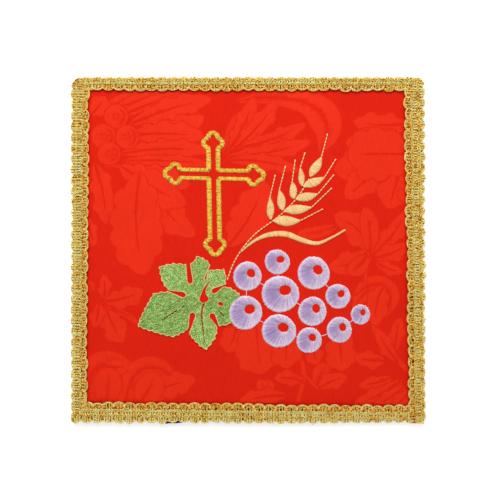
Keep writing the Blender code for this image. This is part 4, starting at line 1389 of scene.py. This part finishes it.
LEAF_HOLES = table(
    "line widths",
    (((-18.2, -14.8), (-20.7, -18.6), (-21.4, -21.2), (-21.2, -23.6), (-20.7, -25.4)),
     (0.5, 1.3, 2.4, 4.7, 2.6)),
    (((-14.5, -25.6), (-13.2, -26.0), (-11.9, -26.6)), (1.2, 2.2, 1.4)),
    (((-20.9, -24.9), (-22.4, -31.0), (-20.9, -44.4)), (0.9, 0.7, 0.3)),
    (((-41.4, -33.8), (-34.4, -29.1)), (0.4, 0.7)),
    (((-32.0, -27.9), (-30.9, -27.0)), (0.4, 0.8)),
    (((-14.1, -29.4), (-11.5, -32.3)), (0.4, 0.5)),
)
OPEN_HOLES = 2
LEAF_RUNS = {
    "outline": {"shade": 0.6, "length": 1.0, "gap": 0.14, "half_width": 0.26, "rise": 0.56},
    "hole": {"shade": 0.5, "length": 0.9, "gap": 0.1, "half_width": 0.17, "rise": 0.5},
    "vein": {"shade": 0.5, "length": 0.9, "gap": 0.3, "half_width": 0.16, "rise": 0.34},
}


def leaf_place(turn_and_reach):
    """A place round the leaf's joint."""
    turn, reach = turn_and_reach
    return LEAF_JOINT + turned(Vector((reach, 0.0)), turn)


def flank(start, end):
    """A lobe's bowed side from start up to but not including end, with teeth along it."""
    outward = right_of((end - start).normalized())
    length = (end - start).length
    teeth = max(round(length / TOOTH_PITCH), 1)
    edge = []
    for k in range(teeth):
        for share, rise in TOOTH_RISES:
            s = (k + share) / teeth
            out = 4 * s * (1 - s) * FLANK_BOW * length + rise * TOOTH_HEIGHT
            edge.append(start.lerp(end, s) + outward * out)
    return edge


def slot_end(row, mouth):
    """The round end of the slot after a lobe, anticlockwise round the leaf."""
    end = leaf_place(row["slot"])
    inward = (end - mouth).normalized() * row["gap"] / 2
    return [end - inward + turned(inward, -turn) for turn in SLOT_TURNS]


def spans(outline, level, ahead, up):
    """The stretches of one row of stitches that lie inside an outline."""
    cuts = []
    for i, point in enumerate(outline):
        before = outline[i - 1]
        low, high = before.dot(up) - level, point.dot(up) - level
        if (low < 0) != (high < 0):
            cuts.append(before.lerp(point, low / (low - high)).dot(ahead))
    cuts.sort()
    return list(zip(cuts[::2], cuts[1::2]))


def row_spans(outline, holes, level, ahead, up):
    """The stretches of one row inside an outline and outside the holes."""
    kept = spans(outline, level, ahead, up)
    for hole in holes:
        for low, high in spans(hole, level, ahead, up):
            kept = [part for begin, finish in kept
                    for part in ((begin, min(finish, low)), (max(begin, high), finish))
                    if part[1] > part[0]]
    return kept


def filled(outline, holes, turn, shade):
    """Rows of short stitches of uneven length over a shape, with its holes left open."""
    ahead = turned(Vector((1.0, 0.0)), turn)
    up = turned(ahead, 90)
    levels = [point.dot(up) for point in outline]
    starts, ends = [], []
    for number in range(int((max(levels) - min(levels)) / ROW_PITCH) + 1):
        level = min(levels) + (number + 0.5) * ROW_PITCH
        for begin, finish in row_spans(outline, holes, level, ahead, up):
            if finish - begin < SHORTEST_ROW:
                continue
            stitches = max(round((finish - begin) / FILL_STITCH + chance.uniform(-0.4, 0.4)), 1)
            marks = begin + (finish - begin) * np.arange(stitches + 1) / stitches
            marks[1:-1] += chance.uniform(-0.25, 0.25, stitches - 1)
            for near, far in zip(marks, marks[1:]):
                lean = up * chance.normal(0, 0.06)
                starts.append(ahead * (near + 0.04) + up * level + lean)
                ends.append(ahead * (far - 0.04) + up * level - lean)
    rises = FILL_RISE + chance.normal(0, 0.05, (len(starts), 1))
    shades = np.clip(chance.normal(shade, 0.2, len(starts)), 0, 1)
    return satin(np.array(starts), np.array(ends), rises, shades, 4, FILL_HALF_WIDTH)


green = make_rayon("green rayon", (92, 138, 44), (160, 208, 98), (222, 252, 170))
holes = []
for row in LEAF_HOLES:
    line = evenly([Vector(point) for point in row["line"]], 4)
    holes.append(ribbon(line, evenly(list(row["widths"]), 4)))
grape_middle, grape_radius = GRAPE_OVER_LEAF["middle"], GRAPE_OVER_LEAF["radius"]
grape_edge = circle(grape_middle, grape_radius - GRAPE_OVER_LEAF["tucked"], 36)
edges, slots, groups = [], [], []
for row, following in zip(LEAF_LOBES, LEAF_LOBES[1:] + LEAF_LOBES[:1]):
    corners = [leaf_place(row[key]) for key in LOBE_CORNERS]
    flanks = [flank(start, end) for start, end in zip(corners, corners[1:])]
    edges.append([point for side in flanks for point in side] + corners[-1:])
    slots.append(slot_end(row, (corners[-1] + leaf_place(following["first"])) / 2))
for k, edge in enumerate(edges):
    before, after = slots[k - 1], slots[k]
    half = len(before) // 2
    outline = [LEAF_JOINT] + before[half:] + edge + after[:half + 1]
    groups.append(filled(outline, holes + [grape_edge], FILL_TURNS[k], FILL_SHADES[k % 2]))
leaf = sewn_piece("vine_leaf_fill", groups, green)
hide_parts("vine_leaf")

edge_line = [point for edge, slot in zip(edges, slots) for point in edge + slot]
free = [(point - grape_middle).length > grape_radius for point in edge_line]
first = next(k for k in range(len(free)) if free[k] and not free[k - 1])
order = range(first - len(free), first)
edge_line = [edge_line[k] for k in order if free[k]]
leaf_edge = sewn_piece(
    "vine_leaf_outline",
    [running(edge_line, **LEAF_RUNS["outline"])]
    + [running(hole + hole[:1], **LEAF_RUNS["hole"]) for hole in holes[:OPEN_HOLES]],
    make_rayon("leaf outline rayon", (176, 138, 70), (226, 192, 118), (246, 224, 166)),
)
# The vein stitches are painted dark brown: painted shade in the slits of the filling
leaf_vein_shadows = sewn_piece(
    "vine_leaf_vein_shadows",
    [running(row["line"], **LEAF_RUNS["vein"]) for row in LEAF_HOLES[OPEN_HOLES:]],
    make_rayon("leaf vein shadow rayon", (60, 30, 10), (104, 58, 22), (150, 104, 50)),
)

# Grapes: eleven discs of lilac rayon in satin that runs from the rim to a round eye off the
# middle, where the red damask shows. Thin threads jump from one grape to the next
GRAPES = table(
    "x y radius",
    (-0.3, -12.7, 6.9),
    (-1.3, -30.3, 8.1),
    (14.1, -5.8, 6.0),
    (15.6, -21.3, 8.9),
    (14.9, -39.1, 8.1),
    (31.7, -11.2, 7.8),
    (31.1, -29.7, 6.9),
    (29.5, -43.6, 6.1),
    (43.4, -22.4, 5.9),
    (44.1, -38.6, 6.1),
    (54.3, -31.2, 4.7),
)
EYE_SHARE = 0.3
EYE_OFFSET = np.array((0.26, 0.21))
JUMPS = ((0, 3), (0, 1), (1, 4), (4, 7), (5, 8), (6, 3), (7, 9), (9, 10))
JUMP_RISE = 0.3
JUMP_HALF_WIDTH = 0.16
JUMP_TUCKED = 0.4
RIM_PITCH = 0.36
GRAPE_RISE = 0.5
# The turn round each grape toward which its stitches are painted in shade
GRAPE_PAINTED_SHADE_TURN = 3.3
# Along each stitch from rim to eye: its painted highlight, strong at the rim and at the eye, and its
# width
RAY_POINTS = table(
    "shade width",
    (1.6, 1.0),
    (1.3, 1.0),
    (0.05, 0.85),
    (0.0, 0.5),
    (0.4, 0.4),
    (1.4, 0.4),
)
RAY_PAINTED_HIGHLIGHT = 0.45


def grape_stitches(row):
    """Satin stitches from the rim to the eye, crowded together there."""
    middle = np.array((row["x"], row["y"]))
    count = 2 * round(math.pi * row["radius"] / RIM_PITCH)
    turn = 2 * math.pi * np.arange(count) / count
    rays = np.column_stack([np.cos(turn), np.sin(turn)])
    swells = chance.uniform(0, 2 * math.pi, 2)
    oval, lobed, squashed = (
        np.cos(times * turn + swell)[:, None]
        for times, swell in ((2, swells[0]), (3, swells[1]), (2, swells[1]))
    )
    radius = row["radius"] * (1 + 0.018 * oval + 0.012 * lobed)
    rim = middle + rays * (radius + chance.normal(0, 0.1, (count, 1)))
    share = EYE_SHARE + 0.02 * squashed + chance.normal(0, 0.012, (count, 1))
    eye = middle + EYE_OFFSET * row["radius"] + rays * radius * share
    # Painted shade: the stitches on the left of each grape are darker, standing in for the light that
    # stitches catch by their direction
    painted_side_shade = 0.38 * np.maximum(np.cos(turn - GRAPE_PAINTED_SHADE_TURN), 0)
    side = 0.56 - painted_side_shade + chance.normal(0, 0.12, count)
    # Painted highlight along each stitch: lightest at the rim and at the eye, darkest in between
    along = RAY_PAINTED_HIGHLIGHT * np.array([point["shade"] for point in RAY_POINTS])
    taper = STITCH_HALF_WIDTH * np.array([point["width"] for point in RAY_POINTS])
    rises = GRAPE_RISE + chance.normal(0, 0.03, (count, 1))
    return satin(rim, eye, rises, np.clip(side[:, None] + along, 0, 1), half_width=taper)


lilac = make_rayon("lilac rayon", (158, 130, 192), (217, 192, 226), (255, 241, 250), glitter=1.0)
for number, row in enumerate(GRAPES, start=1):
    grape = sewn_piece(f"grape_{number}_satin", [grape_stitches(row)], lilac)
    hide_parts(f"grape_{number}")
starts, ends = [], []
for a, b in JUMPS:
    here, there = (np.array((GRAPES[k]["x"], GRAPES[k]["y"])) for k in (a, b))
    away = (there - here) / np.linalg.norm(there - here)
    starts.append(here + away * (GRAPES[a]["radius"] - JUMP_TUCKED))
    ends.append(there - away * (GRAPES[b]["radius"] - JUMP_TUCKED))
jump_stitches = satin(np.array(starts), np.array(ends), JUMP_RISE, np.full(len(starts), 0.9),
                      half_width=JUMP_HALF_WIDTH)
jumps = sewn_piece("grape_jump_threads", [jump_stitches], lilac)

# The photograph's set: the pall lies on a plain white table, seen from straight above, in the
# even light of a large lamp overhead and a smaller one beyond its top
CAMERA_HEIGHT = 0.674
CAMERA_SIDE = 0.00097
TABLE_SIZE = 6.0
TABLE_TOP = -0.0001
LAMPS = table(
    "name place aim size power",
    ("overhead", (0.0, 0.1, 1.05), (0.0, 0.0, 0.0), 0.9, 2.7),
    ("window", (-0.05, 0.42, 0.5), (0.0, 0.06, 0.0), 0.45, 3.3),
)
floor = start_with(
    bpy.ops.mesh.primitive_plane_add, "table", size=TABLE_SIZE, location=(0, 0, TABLE_TOP)
)
white, _, shader = start_material("white table")
shader["Base Color"].default_value = (0.93, 0.93, 0.93, 1.0)
shader["Roughness"].default_value = 0.9
shader["Emission Color"].default_value = (1.0, 1.0, 1.0, 1.0)
shader["Emission Strength"].default_value = 0.45
floor.data.materials.append(white)

camera_data = bpy.data.cameras.new("above")
camera_data.lens = 100
camera_data.sensor_width = 36
camera_data.clip_start = 0.01
camera = bpy.data.objects.new("above", camera_data)
camera.location = (CAMERA_SIDE, 0.0, CAMERA_HEIGHT)
bpy.context.scene.collection.objects.link(camera)
bpy.context.scene.camera = camera

for row in LAMPS:
    data = bpy.data.lights.new(row["name"], "AREA")
    data.size = row["size"]
    data.energy = row["power"]
    lamp = bpy.data.objects.new(row["name"], data)
    lamp.location = row["place"]
    beam = Vector(row["aim"]) - Vector(row["place"])
    lamp.rotation_euler = beam.to_track_quat("-Z", "Y").to_euler()
    bpy.context.scene.collection.objects.link(lamp)

world = bpy.data.worlds.new("studio")
world.use_nodes = True
background = world.node_tree.nodes["Background"].inputs
background["Color"].default_value = (1.0, 1.0, 1.0, 1.0)
background["Strength"].default_value = 0.4
bpy.context.scene.world = world
bpy.context.scene.view_settings.view_transform = "Standard"
